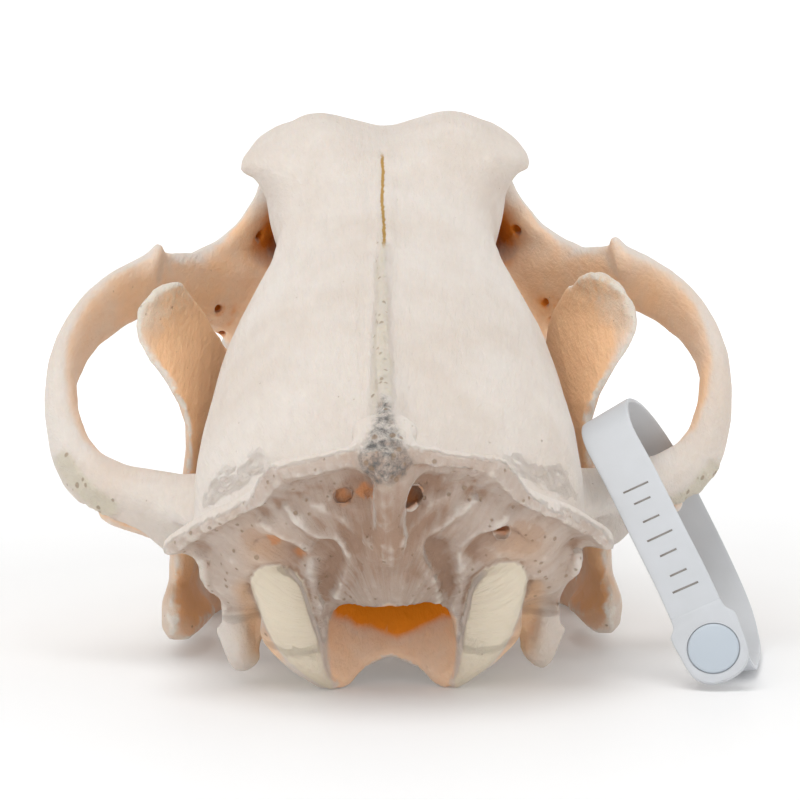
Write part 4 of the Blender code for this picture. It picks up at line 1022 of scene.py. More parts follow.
def paint_skull(skull, openings):
    """Writes the masks that the bone's finish reads."""
    points, normals = points_of(skull), normals_of(skull)
    x, y, z = points.T
    side = np.abs(x)
    pixels = pixels_of(points)
    free = openness(skull)
    plate = occiput_share(points, normals)
    condyles = condyle_share(points, normals)
    rough = rough_share(points)
    line = np.interp(pixels[:, 1], [v for _, v in SUTURE], [u for u, _ in SUTURE])
    top = (y > 60.0) & (y < 134.0) & (normals[:, 2] > 0)
    run = ramp(pixels[:, 1], 152.0, 158.0) * ramp(pixels[:, 1], 250.0, 240.0) * top
    grey = ramp(within(pixels, GREY_PATCH), -7.0, 3.0) * ramp(y, 40.0, 30.0)
    # Warm peach tone: partly the bone's own tint, partly painted glow of light passing through thin bone,
    # laid more strongly on inner and sheltered faces
    arch = ramp(side, 42.0, 50.0) * ramp(y, 54.0, 60.0) * ramp(y, 160.0, 140.0)
    inner = ramp(-np.sign(x) * normals[:, 0] - 0.25 * normals[:, 2], -0.2, 0.6)
    orbit = (ramp(side, 18.0, 26.0) * ramp(z, 57.0, 44.0) * ramp(y, 92.0, 116.0) * ramp(y, 178.0, 160.0)
             * ramp(-normals[:, 1], 0.0, 0.5) * ramp(z, 8.0, 22.0))
    base = ramp(z, 12.0, 2.0) * ramp(y, 60.0, 30.0)
    warm = np.maximum.reduce([0.66 * arch * inner, 0.16 * arch, 0.22 * base, 0.8 * orbit])
    # Amber in the hollows and orbits, by how sheltered they are: painted shade and glow of light passing
    # through the bone
    deep = np.maximum(ramp(free, 0.46, 0.10) * (1 - ramp(plate, 0.0, 0.3)) * ramp(y, 215.0, 185.0),
                      orbit * ramp(free, 0.66, 0.30))
    cave = (ramp(side, 15.5, 14.0) * ramp(y, 74.0, 66.0) * ramp(z, 27.0, 24.0)
            * ((normals[:, 2] > -0.3) | (z > 7)))
    inward = -(x * normals[:, 0] + (z - 13.0) * normals[:, 2]) / (np.hypot(x, z - 13.0) + 0.1)
    facing = (inward > 0.0) | ((normals[:, 1] < -0.5) & (y > 26.0) & (side < 13.0))
    inside = cave * ramp(within(pixels, CAVE_GLOW), -13.0, 3.0) * ramp(y, 18.0, 22.0) * facing
    rim = ramp(within(pixels, FORAMEN), -1.0, 3.0) * ramp(y, 9.0, 12.0) * ramp(y, 74.0, 66.0) * (1 - inside)
    rim *= (facing | (y < 16.0)) & (side < 15.5)
    # Inside the small openings: painted shade and glow
    holes = opening_share(points, openings) * ramp(free, 0.85, 0.6)
    for pixel, width, _ in FORAMINA[:SEEN_THROUGH]:
        seen = spot(pixels, pixel, 3.2 * width) * (y < 60.0) * ramp(free, 0.75, 0.45)
        holes = np.maximum(holes, ramp(seen, 0.2, 0.6))
    # Darker patches on the lower parietals: painted shade
    painted_parietal_shade = 0.8 * spot(pixels, (236, 470), 26) + 0.8 * spot(pixels, (530, 450), 32)
    painted_parietal_shade += 0.5 * spot(pixels, (330, 440), 30) + 0.5 * spot(pixels, (440, 430), 30)
    painted_parietal_shade *= 0.25 * ramp(y, 80.0, 60.0) * ramp(normals[:, 2], 0.0, 0.5)
    # Ridges get a painted highlight and hollows painted shade, from the bone's own bumps
    painted_highlight, hollow = ramp(bulge_of(skull, 4), 0.05, 0.34), ramp(-bulge_of(skull, 10), 0.06, 0.5)
    hollow *= 0.25 + 0.75 * plate
    # Warm tone in the hollows beside the condyles: painted through-light glow and shade
    fossa = 0.8 * (spot(pixels, (262, 548), 34) + spot(pixels, (520, 546), 36))
    fossa *= ramp(-normals[:, 1], 0.0, 0.5)
    fossa += spot(pixels, (264, 645), 30) + spot(pixels, (516, 640), 30)
    fossa = np.clip(fossa, 0.0, 1.0) * ramp(y, 62.0, 52.0) * ramp(-normals[:, 1], -0.5, 0.2)
    for path in (FOSSA_LEFT, FOSSA_RIGHT):
        near = ramp(distance_to_path(pixels, path), 22.0, 2.0)
        fossa = np.maximum(fossa, near * ramp(y, 44.0, 28.0) * ramp(-normals[:, 1], -0.2, 0.5))
    warm = np.maximum.reduce([warm, 0.75 * fossa * (1 - condyles), 0.7 * rim])
    deep *= 1 - 0.8 * fossa
    middle = spot(pixels, (388, 530), 70) * plate
    # The plate's own brownish tone, darkened as painted shade: more in its hollows and middle, less on its
    # ridges
    set_attribute(skull, "plate", plate * (0.6 + 0.3 * middle + 0.3 * hollow - 0.3 * painted_highlight) * (1 - rim))
    set_attribute(skull, "warm", warm * (1 - condyles))
    # Amber mask: painted shade and glow in the hollows, the brain's room and the openings
    set_attribute(skull, "deep", np.maximum.reduce([deep, inside, 0.6 * holes]))
    shade = np.maximum.reduce([ramp(free, 0.84, 0.42), painted_parietal_shade, 0.8 * hollow, holes])
    set_attribute(skull, "shade", shade * (1 - 0.8 * condyles))
    set_attribute(skull, "painted_highlight", 0.7 * painted_highlight * (1 - inside) * (1 - grey) * (1 - condyles) * (1 - holes))
    set_attribute(skull, "glow", 0.42 * inside + 0.08 * rim + 0.03 * holes)
    set_attribute(skull, "suture_side", 0.5 + (pixels[:, 0] - line) / 40.0)
    set_attribute(skull, "suture_run", run)
    set_attribute(skull, "grey", 0.6 * grey)
    set_attribute(skull, "crumble", np.maximum.reduce([rough, 0.5 * plate * (1 - condyles), 0.1 * painted_parietal_shade]))
    set_attribute(skull, "old", 0.9 * rough * (1 - grey))
    set_attribute(skull, "cream", condyles * (1 - rim) * (1 - inside))
    set_vector_attribute(skull, "fibre", fibre_of(points, plate))


# Jaw

def jaw_shape(side, node, settings):
    """One half of the lower jaw without its teeth."""
    jaw = cad_copy(node + "_bone", (node,))
    cutters = [
        block("tooth_room", (-70, 131.0, -10.9), (70, 236.0, 30.0)),
        block("front_room", (-40, 236.0, -9.4), (40, 260.0, 30.0)),
        sight_prism("coronoid_edge", CORONOID_EDGE, 500.0, 640.0),
        limb("mental_foramen", sided([(22.0, 222.0, -24.0, 4.0, 3.0), (14.0, 216.0, -24.0, 2.6, 2.2)],
                                     side),
             steps=2, sides=12),
        limb("rear_mental_foramen", sided([(28.0, 204.0, -25.0, 3.2, 2.4), (20.0, 200.0, -25.0, 2.0, 1.6)],
                                          side),
             steps=2, sides=12),
        limb("mandibular_foramen", sided([(34.0, 82.0, -8.0, 4.4, 6.0), (40.6, 92.0, -11.0, 3.6, 4.6),
                                          (42.0, 98.0, -13.0, 2.0, 2.6)], side), steps=2, sides=14),
    ]
    carved(jaw, cutters)
    fused(jaw, settings.voxel / MM)
    points, normals = points_of(jaw), normals_of(jaw)
    push = 0.14 * noise(points, 8.0, seed=41, octaves=3)
    rim = ramp(points[:, 2], 44.0, 52.0) * ramp(points[:, 1], 110.0, 100.0)
    push += 0.45 * rim * noise(points, 3.0, seed=43, octaves=2)
    set_points(jaw, points + normals * push[:, None])
    return thinned(jaw, settings.jaw_triangles)


def paint_jaw(jaw):
    points, normals = points_of(jaw), normals_of(jaw)
    x, y, z = points.T
    free = openness(jaw, samples=5000)
    inner = ramp(-np.sign(x) * normals[:, 0], -0.1, 0.6)
    back = ramp(y, 130.0, 112.0)
    edge = ramp(free, 0.78, 0.95)
    # Ridges get a painted highlight and hollows painted shade, from the bone's own bumps
    painted_highlight, hollow = ramp(bulge_of(jaw, 4), 0.03, 0.20), ramp(-bulge_of(jaw, 9), 0.03, 0.30)
    # Warm tone on the back of the jaw: partly the bone's own tint, partly painted through-light, stronger on
    # inner faces and weaker where open
    set_attribute(jaw, "warm", back * (0.62 + 0.38 * inner) * (1 - 0.4 * edge))
    # Amber low on the inner side and in sheltered places: painted shade and glow
    low = 0.5 * inner * back * ramp(z, 10.0, -4.0)
    set_attribute(jaw, "deep", np.maximum(0.8 * ramp(free, 0.55, 0.2), low))
    set_attribute(jaw, "shade", np.maximum(ramp(free, 0.86, 0.45), 0.8 * hollow))
    set_attribute(jaw, "painted_highlight", painted_highlight)
    rim = ramp(z, 42.0, 52.0) * ramp(y, 112.0, 100.0)
    tip = ramp(y, 60.0, 55.0) * ramp(z, 0.0, -6.0)
    set_attribute(jaw, "crumble", np.maximum(0.5 * rim, 0.5 * tip))
    set_attribute(jaw, "old", 0.5 * rim)
    set_vector_attribute(jaw, "fibre", np.stack([x / 1.4, y / 11.0, z / 2.4], axis=1))


# Teeth

def crown(name, front, rear, z, width, cusps, root=2.6, cuts=13, flat=0.0):
    """A cheek tooth from a cut-up block that is pressed round. A cusp is its place from front to
    rear, its height from the gum, its spread and, on a flat crown, its place across."""
    bm = bmesh.new()
    bmesh.ops.create_cube(bm, size=2.0)
    bmesh.ops.subdivide_edges(bm, edges=bm.edges[:], cuts=cuts, use_grid_fill=True)
    along = Vector((rear[0] - front[0], rear[1] - front[1], 0.0))
    middle = Vector(((rear[0] + front[0]) / 2, (rear[1] + front[1]) / 2, z))
    across = Vector((-along.y, along.x, 0.0)).normalized()
    up = 1.0 if cusps[0][1] > 0 else -1.0
    low = min(abs(cusp[1]) for cusp in cusps) * 0.2
    for vert in bm.verts:
        a, b, c = vert.co
        a, b = a * math.sqrt(1 - 0.44 * b * b), b * math.sqrt(1 - 0.44 * a * a)
        rise = (c + 1) / 2
        height = low
        for place_along, cusp_height, spread, *side in cusps:
            away = (a - (2 * place_along - 1)) / spread
            offset = (b - side[0]) / 0.5 if side else 0.0
            peak = math.exp(-1.25 * math.hypot(away, 0.25) ** 1.5 - offset * offset * 1.2) * 1.17
            height = max(height, low + (abs(cusp_height) - low) * min(peak, 1.0))
        narrowing = 1 - (1 - flat) * 0.84 * rise ** 1.5
        belly = 0.94 + 0.12 * math.sin(math.pi * rise)
        foot = 0.55 + 0.45 * min(1.0, rise * 4.0)
        x_part = a * (0.5 - 0.035 * rise) * (0.8 + 0.2 * foot)
        y_part = b * 0.5 * width * narrowing * belly * foot
        z_part = -root + (height + root) * rise
        vert.co = middle + along * x_part + across * y_part + Vector((0, 0, up * z_part))
    eased(bm, 0.4, rounds=2)
    bmesh.ops.recalc_face_normals(bm, faces=bm.faces[:])
    return store(bm, name)


def cone_tooth(name, rows, sides=20):
    return limb(name, rows, up=(0, 1, 0), steps=4, sides=sides)


def incisor(x, y, z, tip, length, side, lean=-1.6):
    """A spade-shaped front tooth."""
    down = -1.0 if tip < 0 else 1.0
    return cone_tooth("incisor", [
        (x * side, y - 1.4, z - down * 3.0, length * 0.5, length * 0.5),
        (x * side, y - 0.5, z, length * 0.78, length * 0.86),
        (x * side, y + 0.4 * lean, z + 0.35 * tip, length * 0.92, length * 0.86),
        (x * side, y + 0.8 * lean, z + 0.78 * tip, length * 0.72, length * 0.46),
        (x * side, y + lean, z + tip * 0.98, length * 0.42, length * 0.22),
        (x * side, y + lean, z + tip * 1.02, length * 0.16, length * 0.1),
    ])


def upper_canine(side):
    return cone_tooth("canine", sided([
        (17.4, 234.0, 5.0, 5.0, 7.0), (18.9, 239.2, 0.6, 8.0, 11.2), (20.0, 241.6, -4.6, 8.3, 11.5),
        (20.8, 242.0, -12.0, 7.0, 9.4), (21.4, 240.6, -18.6, 5.0, 6.4), (21.4, 238.8, -23.4, 2.9, 3.6),
        (21.2, 237.6, -25.9, 0.9, 1.1),
    ], side), 28)


def lower_canine(side):
    return cone_tooth("canine", sided([
        (9.6, 236.6, -17.0, 5.0, 6.4), (12.2, 240.8, -12.6, 7.8, 10.2), (14.9, 244.8, -6.8, 7.6, 9.8),
        (16.4, 246.9, -2.8, 5.8, 7.2), (17.5, 247.4, 0.4, 3.8, 4.6), (17.9, 246.9, 3.0, 0.9, 1.1),
    ], side), 28)


def upper_teeth(side):
    """The teeth of one upper side, by group."""
    front = [incisor(x, y, 0.4, tip, length, side) for x, y, tip, length in (
        (2.8, 260.2, -8.4, 5.5), (8.0, 258.0, -9.4, 6.1), (13.1, 252.4, -12.4, 7.6))]
    front.append(upper_canine(side))
    cheek = [
        crown("premolar", (18.0 * side, 231.2), (18.2 * side, 224.6), 0.6, 5.0, ((0.45, -6.4, 0.7),)),
        crown("premolar", (18.0 * side, 221.4), (19.3 * side, 207.6), 0.6, 5.8,
              ((0.42, -8.4, 0.42), (0.84, -4.6, 0.22))),
        crown("premolar", (20.0 * side, 205.4), (23.9 * side, 189.6), 0.6, 6.4,
              ((0.42, -9.8, 0.40), (0.80, -5.6, 0.18), (0.95, -4.4, 0.12))),
        crown("carnassial", (26.2 * side, 188.6), (36.8 * side, 164.6), 0.6, 10.0,
              ((0.36, -14.4, 0.34), (0.76, -9.8, 0.26))),
        crown("protocone", (22.6 * side, 187.0), (25.4 * side, 180.6), 0.6, 6.0, ((0.5, -5.4, 0.7),)),
        crown("molar", (37.6 * side, 163.4), (34.4 * side, 149.6), 0.6, 8.6,
              ((0.28, -7.8, 0.34), (0.74, -6.8, 0.34))),
        crown("molar_heel", (31.6 * side, 161.0), (23.6 * side, 154.6), 0.8, 10.4,
              ((0.30, -3.6, 0.5, 0.3), (0.75, -3.2, 0.5, -0.2)), flat=0.7),
        crown("molar", (33.6 * side, 149.6), (33.0 * side, 142.8), 0.8, 7.0,
              ((0.3, -4.4, 0.5), (0.74, -3.6, 0.5)), root=3.0),
        crown("molar_heel", (30.6 * side, 149.0), (25.0 * side, 144.0), 0.8, 6.8, ((0.5, -2.6, 0.8, 0.0),),
              root=3.0, flat=0.7),
    ]
    return front, cheek


def lower_teeth(side):
    z = -12.0
    front = [incisor(x, y, z + 0.4, tip, length, side, lean=1.6) for x, y, tip, length in (
        (2.6, 249.4, 8.2, 4.5), (6.4, 248.8, 8.6, 5.1), (10.0, 247.2, 9.0, 5.5))]
    front.append(lower_canine(side))
    cheek = [
        crown("premolar", (11.4 * side, 232.4), (11.8 * side, 227.0), z - 0.4, 4.6, ((0.45, 5.3, 0.7),)),
        crown("premolar", (12.9 * side, 224.4), (15.5 * side, 212.2), z, 5.4,
              ((0.42, 6.9, 0.42), (0.84, 3.8, 0.22))),
        crown("premolar", (15.9 * side, 210.8), (19.5 * side, 197.6), z, 5.9,
              ((0.42, 7.8, 0.40), (0.80, 4.8, 0.20))),
        crown("premolar", (20.1 * side, 196.4), (24.1 * side, 181.6), z, 6.8,
              ((0.42, 9.4, 0.38), (0.78, 6.0, 0.18), (0.95, 4.4, 0.10))),
        crown("carnassial", (23.9 * side, 180.8), (29.5 * side, 153.6), z, 8.4,
              ((0.22, 9.0, 0.30), (0.50, 11.6, 0.24), (0.86, 5.8, 0.30))),
        crown("molar", (30.9 * side, 152.4), (33.1 * side, 141.4), z, 7.6,
              ((0.3, 5.0, 0.4, 0.35), (0.72, 4.4, 0.4, -0.35)), flat=0.6),
        crown("molar", (34.0 * side, 141.0), (35.2 * side, 135.6), z + 0.8, 5.2, ((0.5, 3.4, 0.8, 0.0),),
              flat=0.5),
    ]
    return front, cheek


def tooth_piece(name, teeth, gum, down, material, slot):
    """The given teeth as one piece, with the neck of each marked."""
    obj = joined(name, teeth)
    away = (points_of(obj)[:, 2] - gum) * (-1.0 if down else 1.0)
    set_attribute(obj, "neck", 0.6 * ramp(away, 2.0, -0.6))
    as_piece(obj, material, slot)


# Tag

LEAN = (0.90, 0.04, 0.43)
BAND_PATH = (
    (57.2, 12.4, 13.4) + LEAN, (54.4, 16.2, 20.0) + LEAN, (50.4, 22.0, 28.6) + LEAN,
    (46.2, 29.2, 37.8) + LEAN, (42.9, 36.0, 44.6) + LEAN, (42.4, 41.0, 47.8, 0.87, 0.02, 0.49),
    (43.4, 46.6, 48.8, 0.86, -0.02, 0.50), (46.2, 54.4, 47.4, 0.88, -0.04, 0.46),
    (50.2, 61.6, 43.0, 0.90, -0.02, 0.42), (55.0, 66.6, 35.6, 0.91, 0.0, 0.40),
    (60.0, 67.4, 25.6, 0.92, 0.0, 0.38), (64.4, 63.6, 16.0, 0.94, 0.0, 0.32),
    (67.6, 57.6, 7.6, 0.96, 0.0, 0.24), (68.4, 51.0, 2.6, 0.98, 0.0, 0.12),
    (67.8, 44.0, 0.9, 0.98, 0.04, 0.10), (66.2, 33.0, 0.9, 0.98, 0.04, 0.10),
    (64.4, 23.0, 1.1, 0.98, 0.04, 0.10), (62.8, 17.0, 2.6, 0.95, 0.02, 0.26),
    (61.2, 14.2, 6.4, 0.92, 0.04, 0.38),
)


# Half of the flat end's outline, across the strap and up it
PADDLE = ((0.0, -6.5), (3.0, -5.9), (5.2, -4.0), (6.0, -1.6), (6.25, 1.2), (6.45, 3.8), (6.35, 5.2),
          (5.7, 6.0), (5.2, 6.8), (5.0, 8.4))
PADDLE_BACK, PADDLE_THICKNESS, HEAD_DROP = -0.85, 1.5, 7.4
# The button and the room it lies in, as radius and height
BUTTON = ((0, 0.32), (4.7, 0.32), (4.75, 0.5), (4.75, 0.75), (4.6, 0.95), (4.2, 1.02), (0, 1.06))
BUTTON_ROOM = ((0, 0.3), (4.95, 0.3), (4.95, 3.0), (0, 3.0))
MARKS, MARKS_START, MARKS_STEP = 7, 5.0, 3.9
LONG_MARK, SHORT_MARK = 2.6, 1.7


def squared(vector, along):
    """A vector's part that is square to a direction, one long."""
    return (vector - along * vector.dot(along)).normalized()


def backward(vector):
    """The vector or its opposite, whichever points back towards the photograph's eye."""
    return -vector if vector.y > 0 else vector


def set_on(centre, axes):
    """The matrix that puts a shape on a centre and three axes."""
    return Matrix.Translation(centre) @ Matrix(axes).transposed().to_4x4()


def tag_axes():
    """The middle of the tag's round head, and the axes across it, up the strap and out of its face."""
    start, after = Vector(BAND_PATH[0][:3]), Vector(BAND_PATH[1][:3])
    up = (after - start).normalized()
    across = squared(Vector(LEAN), up)
    return start - up * HEAD_DROP, (across, up, backward(across.cross(up).normalized()))


def tag_band(settings):
    """The moulded strap, with its corners eased."""
    rows = smooth_rows(BAND_PATH, 5)
    points = [Vector(row[:3]) for row in rows]
    places = []
    for i, row in enumerate(rows):
        along = (points[min(i + 1, len(points) - 1)] - points[max(i - 1, 0)]).normalized()
        across = squared(Vector(row[3:]), along)
        places.append(place(points[i], across * (settings.band_width / MM / 2),
                            along.cross(across) * (settings.band_thickness / MM / 2)))
    return swept("tag_strap", places, sides=24, power=7.0)


def tag_paddle(centre, axes):
    """The flat end of the tag: shoulders that narrow to a round tip."""
    half = smooth_rows(PADDLE, 4)
    outline = half + [(-a, b) for a, b in reversed(half[1:])]
    bm = bmesh.new()
    face = bm.faces.new([bm.verts.new((a, b, PADDLE_BACK)) for a, b in outline])
    made = bmesh.ops.extrude_face_region(bm, geom=[face])["geom"]
    bmesh.ops.translate(bm, vec=(0, 0, PADDLE_THICKNESS),
                        verts=[g for g in made if isinstance(g, bmesh.types.BMVert)])
    rim = [e for e in bm.edges
           if e.calc_face_angle(0) > 1.2 and abs(e.verts[0].co.z - e.verts[1].co.z) < 0.01]
    bmesh.ops.bevel(bm, geom=rim, offset=0.2, offset_type="OFFSET", affect="EDGES", segments=2, profile=0.5,
                    material=-1)
    bmesh.ops.recalc_face_normals(bm, faces=bm.faces[:])
    bmesh.ops.transform(bm, matrix=set_on(centre, axes), verts=bm.verts[:])
    return store(bm, "tag_round_head")


def tag_marks(settings):
    """Plain ticks across the strap, where such a tag is printed."""
    rows = smooth_rows(BAND_PATH[:5], 12)
    points = [Vector(row[:3]) for row in rows]
    made = []
    run, wanted = 0.0, MARKS_START
    for before, after, row in zip(points, points[1:], rows):
        run += (after - before).length
        if run < wanted or len(made) >= MARKS:
            continue
        along = (after - before).normalized()
        across = squared(Vector(row[3:]), along)
        out = backward(along.cross(across))
        matrix = set_on(after + out * (settings.band_thickness / MM / 2), (across, along, out))
        long = LONG_MARK if len(made) % 3 == 0 else SHORT_MARK
        made.append(block("mark", (-long, -0.2, -0.2), (long, 0.2, 0.03), matrix))
        wanted += MARKS_STEP
    return joined("tag_marks", made)


def turned_disc(name, centre, axes, profile):
    """A round plate spun from its profile of radius and height, outer edge included."""
    bm = bmesh.new()
    verts = [bm.verts.new((radius, 0, height)) for radius, height in profile]
    edges = [bm.edges.new(pair) for pair in zip(verts, verts[1:])]
    bmesh.ops.spin(bm, geom=verts + edges, cent=(0, 0, 0), axis=(0, 0, 1), angle=math.tau, steps=48,
                   use_merge=True, use_duplicate=False, dvec=(0, 0, 0))
    bmesh.ops.remove_doubles(bm, verts=bm.verts[:], dist=1e-4)
    bmesh.ops.recalc_face_normals(bm, faces=bm.faces[:])
    bmesh.ops.transform(bm, matrix=set_on(centre, axes), verts=bm.verts[:])
    return store(bm, name)


# Settings

def tone(name, description, default):
    """A colour that a user may change."""
    return bpy.props.FloatVectorProperty(name=name, description=description, subtype="COLOR", size=3, min=0,
                                         max=1, default=default)


def measure(name, description, default, low, high):
    """A length in metres that a user may change."""
    return bpy.props.FloatProperty(name=name, description=description, default=default, min=low, max=high,
                                   unit="LENGTH", precision=5)


def amount(name, description, default, high, unit="NONE"):
    """A number from nothing up that a user may change."""
    return bpy.props.FloatProperty(name=name, description=description, default=default, min=0, max=high,
                                   unit=unit)


class BoneSettings(bpy.types.PropertyGroup):
    voxel: measure("Detail", "Grid size of the bone skins", 0.00066, 0.0004, 0.004)
    triangles: bpy.props.IntProperty(name="Triangles", description="Most triangles of the skull's skin",
                                     default=190000, min=20000, max=199000)
    jaw_triangles: bpy.props.IntProperty(name="Jaw triangles", description="Most triangles of half a jaw",
                                         default=90000, min=10000, max=199000)
    ivory: tone("Ivory", "Lighter tone of clean bone", (0.735, 0.67, 0.61))
    ivory_shade: tone("Ivory shade", "Darker tone of clean bone", (0.68, 0.60, 0.53))
    # Peach: the thin bone's own tint, also used as painted glow of light passing through it
    peach: tone("Peach", "Tone of thin bone", (0.90, 0.56, 0.32))
    # Painted shade and glow of light through the bone, laid in hollows
    painted_hollow_glow: tone("Amber", "Tone of deep hollows", (0.70, 0.22, 0.02))
    # The plate's own tone, made darker than it is as painted shade
    plate: tone("Plate", "Tone of the plate behind the crest", (0.40, 0.26, 0.185))
    cream: tone("Cream", "Tone of the joint faces", (0.76, 0.67, 0.53))
    grey: tone("Grey", "Tone of the weathered crest", (0.17, 0.16, 0.15))
    old: tone("Old bone", "Tone of porous bone", (0.72, 0.65, 0.53))
    suture: tone("Suture", "Tone inside the open suture", (0.46, 0.27, 0.07))
    shade: tone("Shaded bone", "Tone of sheltered bone", (0.60, 0.47, 0.39))
    pore_colour: tone("Pores", "Tone inside the pores", (0.33, 0.22, 0.13))
    # Painted highlight, laid on ridges and edges
    pale: tone("Pale edges", "Tone of worn edges and ridges", (0.80, 0.73, 0.65))
    glow: tone("Glow", "Light that passes through thin bone", (0.36, 0.10, 0.0))
    pores: amount("Pore size", "How far the pores open", 0.55, 1)


class ToothSettings(bpy.types.PropertyGroup):
    enamel: tone("Enamel", "Tone of the crowns", (0.80, 0.76, 0.66))
    enamel_shade: tone("Enamel shade", "Cloudier tone of the crowns", (0.72, 0.65, 0.52))
    root_colour: tone("Neck", "Tone at the gum line", (0.58, 0.45, 0.28))
    crack_colour: tone("Cracks", "Tone of the fine cracks", (0.36, 0.27, 0.17))


class TagSettings(bpy.types.PropertyGroup):
    band_width: measure("Band width", "Width of the tag's strap", 0.010, 0.004, 0.02)
    band_thickness: measure("Band thickness", "Thickness of the tag's strap", 0.001, 0.0004, 0.003)
    colour: tone("Plastic", "Tone of the tag", (0.60, 0.62, 0.65))
    shade: tone("Plastic shade", "Cloudier tone of the tag", (0.56, 0.58, 0.60))
    button: tone("Button", "Tone of the button", (0.50, 0.56, 0.62))
    mark: tone("Marks", "Tone of the plain marks", (0.27, 0.25, 0.23))


class StageSettings(bpy.types.PropertyGroup):
    floor: tone("Floor", "Tone of the floor", (0.86, 0.86, 0.86))
    glow: amount("Floor light", "How far the floor is lit from below", 0.10, 2)
    wall_glow: amount("Wall light", "How far the far wall is lit", 0.45, 2)
    key_power: amount("Key light", "Power of the large light above", 11.0, 500, "POWER")
    fill_power: amount("Fill light", "Power of the light by the camera", 1.0, 500, "POWER")
    sky: amount("Sky", "Strength of the even light all round", 0.55, 5)


# Stage

# The floor's radius, and the rings of its upturned rim: how much wider and higher each is than the last
FLOOR_RADIUS = 2.2
RIM = ((1.10, 0.04), (1.16, 0.16), (1.14, 0.34), (1.08, 0.5), (1.03, 0.6))


def stage_floor(stage):
    """A round floor whose rim curves up into a wall."""
    bm = bmesh.new()
    ring = bmesh.ops.create_circle(bm, cap_ends=True, segments=96, radius=FLOOR_RADIUS)["verts"]
    edges = list({e for v in ring for e in v.link_edges if len(e.link_faces) == 1})
    for wider, higher in RIM:
        made = bmesh.ops.extrude_edge_only(bm, edges=edges)["geom"]
        verts = [g for g in made if isinstance(g, bmesh.types.BMVert)]
        edges = [g for g in made if isinstance(g, bmesh.types.BMEdge)]
        bmesh.ops.scale(bm, vec=(wider, wider, 1), verts=verts)
        bmesh.ops.translate(bm, vec=(0, 0, higher), verts=verts)
    bmesh.ops.recalc_face_normals(bm, faces=bm.faces[:])
    floor = store(bm, "stage_floor")
    floor.data.shade_smooth()
    floor.data.materials.append(floor_material(stage))


def stage_light(scene, stage):
    """Even light all round, a large lamp above and a weak one by the camera."""
    world = bpy.data.worlds.new("studio")
    world.use_nodes = True
    sky = world.node_tree.nodes["Background"].inputs
    sky["Color"].default_value = (1, 1, 1, 1)
    sky["Strength"].default_value = stage.sky
    scene.world = world
    for name, centre, size, power in (
            ("key", Vector((-0.25, -0.35, 1.5)), 1.3, stage.key_power),
            ("fill", Vector((0.35, -1.5, 0.7)), 1.0, stage.fill_power)):
        lamp = bpy.data.lights.new(name, "AREA")
        lamp.shape = "DISK"
        lamp.size = size
        lamp.energy = power
        light = bpy.data.objects.new(name, lamp)
        light.location = centre
        light.rotation_euler = (Vector((0, 0, 0.05)) - centre).to_track_quat("-Z", "Y").to_euler()
        scene.collection.objects.link(light)


# Operators

class SKULL_OT_skull(bpy.types.Operator):
    """Builds the skull's bone in one skin"""
    bl_idname = "wolf_skull.skull"
    bl_label = "Skull"

    def execute(self, context):
        bone = context.scene.skull_bone
        skull, openings = skull_shape(bone)
        paint_skull(skull, openings)
        material = bone_material("skull bone", bone, (
            ("shade", bone.shade, 0.2, "Mottle"), ("warm", bone.peach, 0.35, "Mottle"),
            ("plate", bone.plate, 0.2, "Streak"), ("cream", bone.cream, 0.0, "Mottle"),
            ("deep", bone.painted_hollow_glow, 0.2, "Mottle"), ("painted_highlight", bone.pale, 0.3, "Mottle"),
            ("old", bone.old, 0.6, "Crumb"), ("grey", bone.grey, 1.3, "Crumb")))
        lit_through(material, bone.glow)
        open_suture(material, bone.suture)
        as_piece(skull, material, "bone", *SKULL_NODES)
        return {"FINISHED"}


class SKULL_OT_jaw(bpy.types.Operator):
    """Builds both halves of the lower jaw"""
    bl_idname = "wolf_skull.jaw"
    bl_label = "Lower jaw"

    def execute(self, context):
        bone = context.scene.skull_bone
        material = bone_material("jaw bone", bone, (
            ("shade", bone.shade, 0.2, "Mottle"), ("warm", bone.peach, 0.35, "Mottle"),
            ("deep", bone.painted_hollow_glow, 0.2, "Mottle"), ("painted_highlight", bone.pale, 0.3, "Mottle"),
            ("old", bone.old, 0.6, "Crumb")))
        for side, name in ((1, "mandible_right"), (-1, "mandible_left")):
            jaw = jaw_shape(side, name, bone)
            paint_jaw(jaw)
            as_piece(jaw, material, "jaw_bone", name)
        return {"FINISHED"}


class SKULL_OT_teeth(bpy.types.Operator):
    """Builds the upper and lower teeth"""
    bl_idname = "wolf_skull.teeth"
    bl_label = "Teeth"

    def execute(self, context):
        material = enamel_material(context.scene.skull_teeth)
        for side, word in ((1, "right"), (-1, "left")):
            front, cheek = upper_teeth(side)
            tooth_piece("upper_front_teeth_" + word, front, UPPER_GUM, True, material, "bone")
            tooth_piece("upper_cheek_teeth_" + word, cheek, UPPER_GUM, True, material, "bone")
            front, cheek = lower_teeth(side)
            tooth_piece("lower_front_teeth_" + word, front, LOWER_FRONT_GUM, False, material, "jaw_bone")
            tooth_piece("lower_cheek_teeth_" + word, cheek, LOWER_GUM, False, material, "jaw_bone")
        return {"FINISHED"}


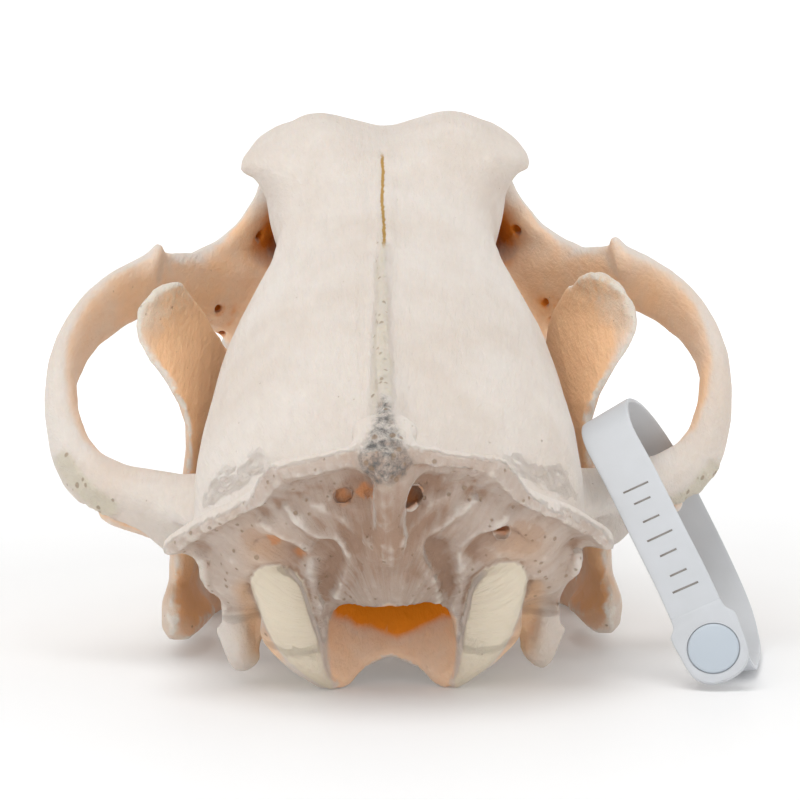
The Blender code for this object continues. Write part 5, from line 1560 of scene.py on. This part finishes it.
class SKULL_OT_tag(bpy.types.Operator):
    """Builds the loop tag with its head, button and plain marks"""
    bl_idname = "wolf_skull.tag"
    bl_label = "Tag"

    def execute(self, context):
        tag = context.scene.skull_tag
        plastic = plastic_material("tag plastic", tag.colour, tag.shade, 0.40)
        button_plastic = plastic_material("button plastic", tag.button, tag.button, 0.34)
        paint = plastic_material("mark paint", tag.mark, tag.mark, 0.5)
        centre, axes = tag_axes()
        strap, head = tag_band(tag), tag_paddle(centre, axes)
        carved(head, [turned_disc("button_room", centre, axes, BUTTON_ROOM)])
        button = turned_disc("tag_button_cap", centre, axes, BUTTON)
        finished(strap, plastic, "tag_plastic", FLOOR_TO_WORLD, "tag_band")
        finished(head, plastic, "tag_plastic", FLOOR_TO_WORLD, "tag_head")
        finished(button, button_plastic, "tag_plastic", FLOOR_TO_WORLD, "tag_button")
        finished(tag_marks(tag), paint, "tag_plastic", FLOOR_TO_WORLD)
        for obj in (strap, head, button):
            obj.data.set_sharp_from_angle(angle=SHARP_ANGLE)
        return {"FINISHED"}


class SKULL_OT_stage(bpy.types.Operator):
    """Builds the floor, the lights and the camera"""
    bl_idname = "wolf_skull.stage"
    bl_label = "Stage"

    def execute(self, context):
        scene, stage = context.scene, context.scene.skull_stage
        stage_floor(stage)
        stage_light(scene, stage)
        camera = bpy.data.objects.new("camera", bpy.data.cameras.new("camera"))
        scene.collection.objects.link(camera)
        camera.data.sensor_width = SENSOR_MM
        camera.data.lens = FOCAL_PX / IMAGE_PX * SENSOR_MM
        camera.data.clip_start = 0.01
        right, upright, forward = eye_axes()
        turn = Matrix((right, upright, -forward)).transposed()
        pose = TO_WORLD.to_3x3().normalized() @ turn
        camera.matrix_world = Matrix.LocRotScale(TO_WORLD @ EYE, pose.to_quaternion(), None)
        scene.camera = camera
        scene.view_settings.view_transform = "Standard"
        return {"FINISHED"}


OPERATORS = (SKULL_OT_stage, SKULL_OT_skull, SKULL_OT_jaw, SKULL_OT_teeth, SKULL_OT_tag)


class SKULL_PT_panel(bpy.types.Panel):
    """Lists the pieces and their settings"""
    bl_idname = "SKULL_PT_panel"
    bl_label = "Wolf Skull"
    bl_space_type = "VIEW_3D"
    bl_region_type = "UI"
    bl_category = "Wolf Skull"

    def draw(self, context):
        for operator in OPERATORS:
            self.layout.operator(operator.bl_idname)
        for settings in (context.scene.skull_bone, context.scene.skull_teeth, context.scene.skull_tag,
                         context.scene.skull_stage):
            box = self.layout.box()
            for key in settings.__annotations__:
                box.prop(settings, key)


CLASSES = (BoneSettings, ToothSettings, TagSettings, StageSettings, *OPERATORS, SKULL_PT_panel)


def register():
    for cls in CLASSES:
        bpy.utils.register_class(cls)
    bpy.types.Scene.skull_bone = bpy.props.PointerProperty(type=BoneSettings)
    bpy.types.Scene.skull_teeth = bpy.props.PointerProperty(type=ToothSettings)
    bpy.types.Scene.skull_tag = bpy.props.PointerProperty(type=TagSettings)
    bpy.types.Scene.skull_stage = bpy.props.PointerProperty(type=StageSettings)


def unregister():
    for key in ("skull_bone", "skull_teeth", "skull_tag", "skull_stage"):
        delattr(bpy.types.Scene, key)
    for cls in reversed(CLASSES):
        bpy.utils.unregister_class(cls)


def main():
    register()
    bpy.ops.wolf_skull.stage()
    bpy.ops.wolf_skull.skull()
    bpy.ops.wolf_skull.jaw()
    bpy.ops.wolf_skull.teeth()
    bpy.ops.wolf_skull.tag()


if __name__ == "__main__":
    main()
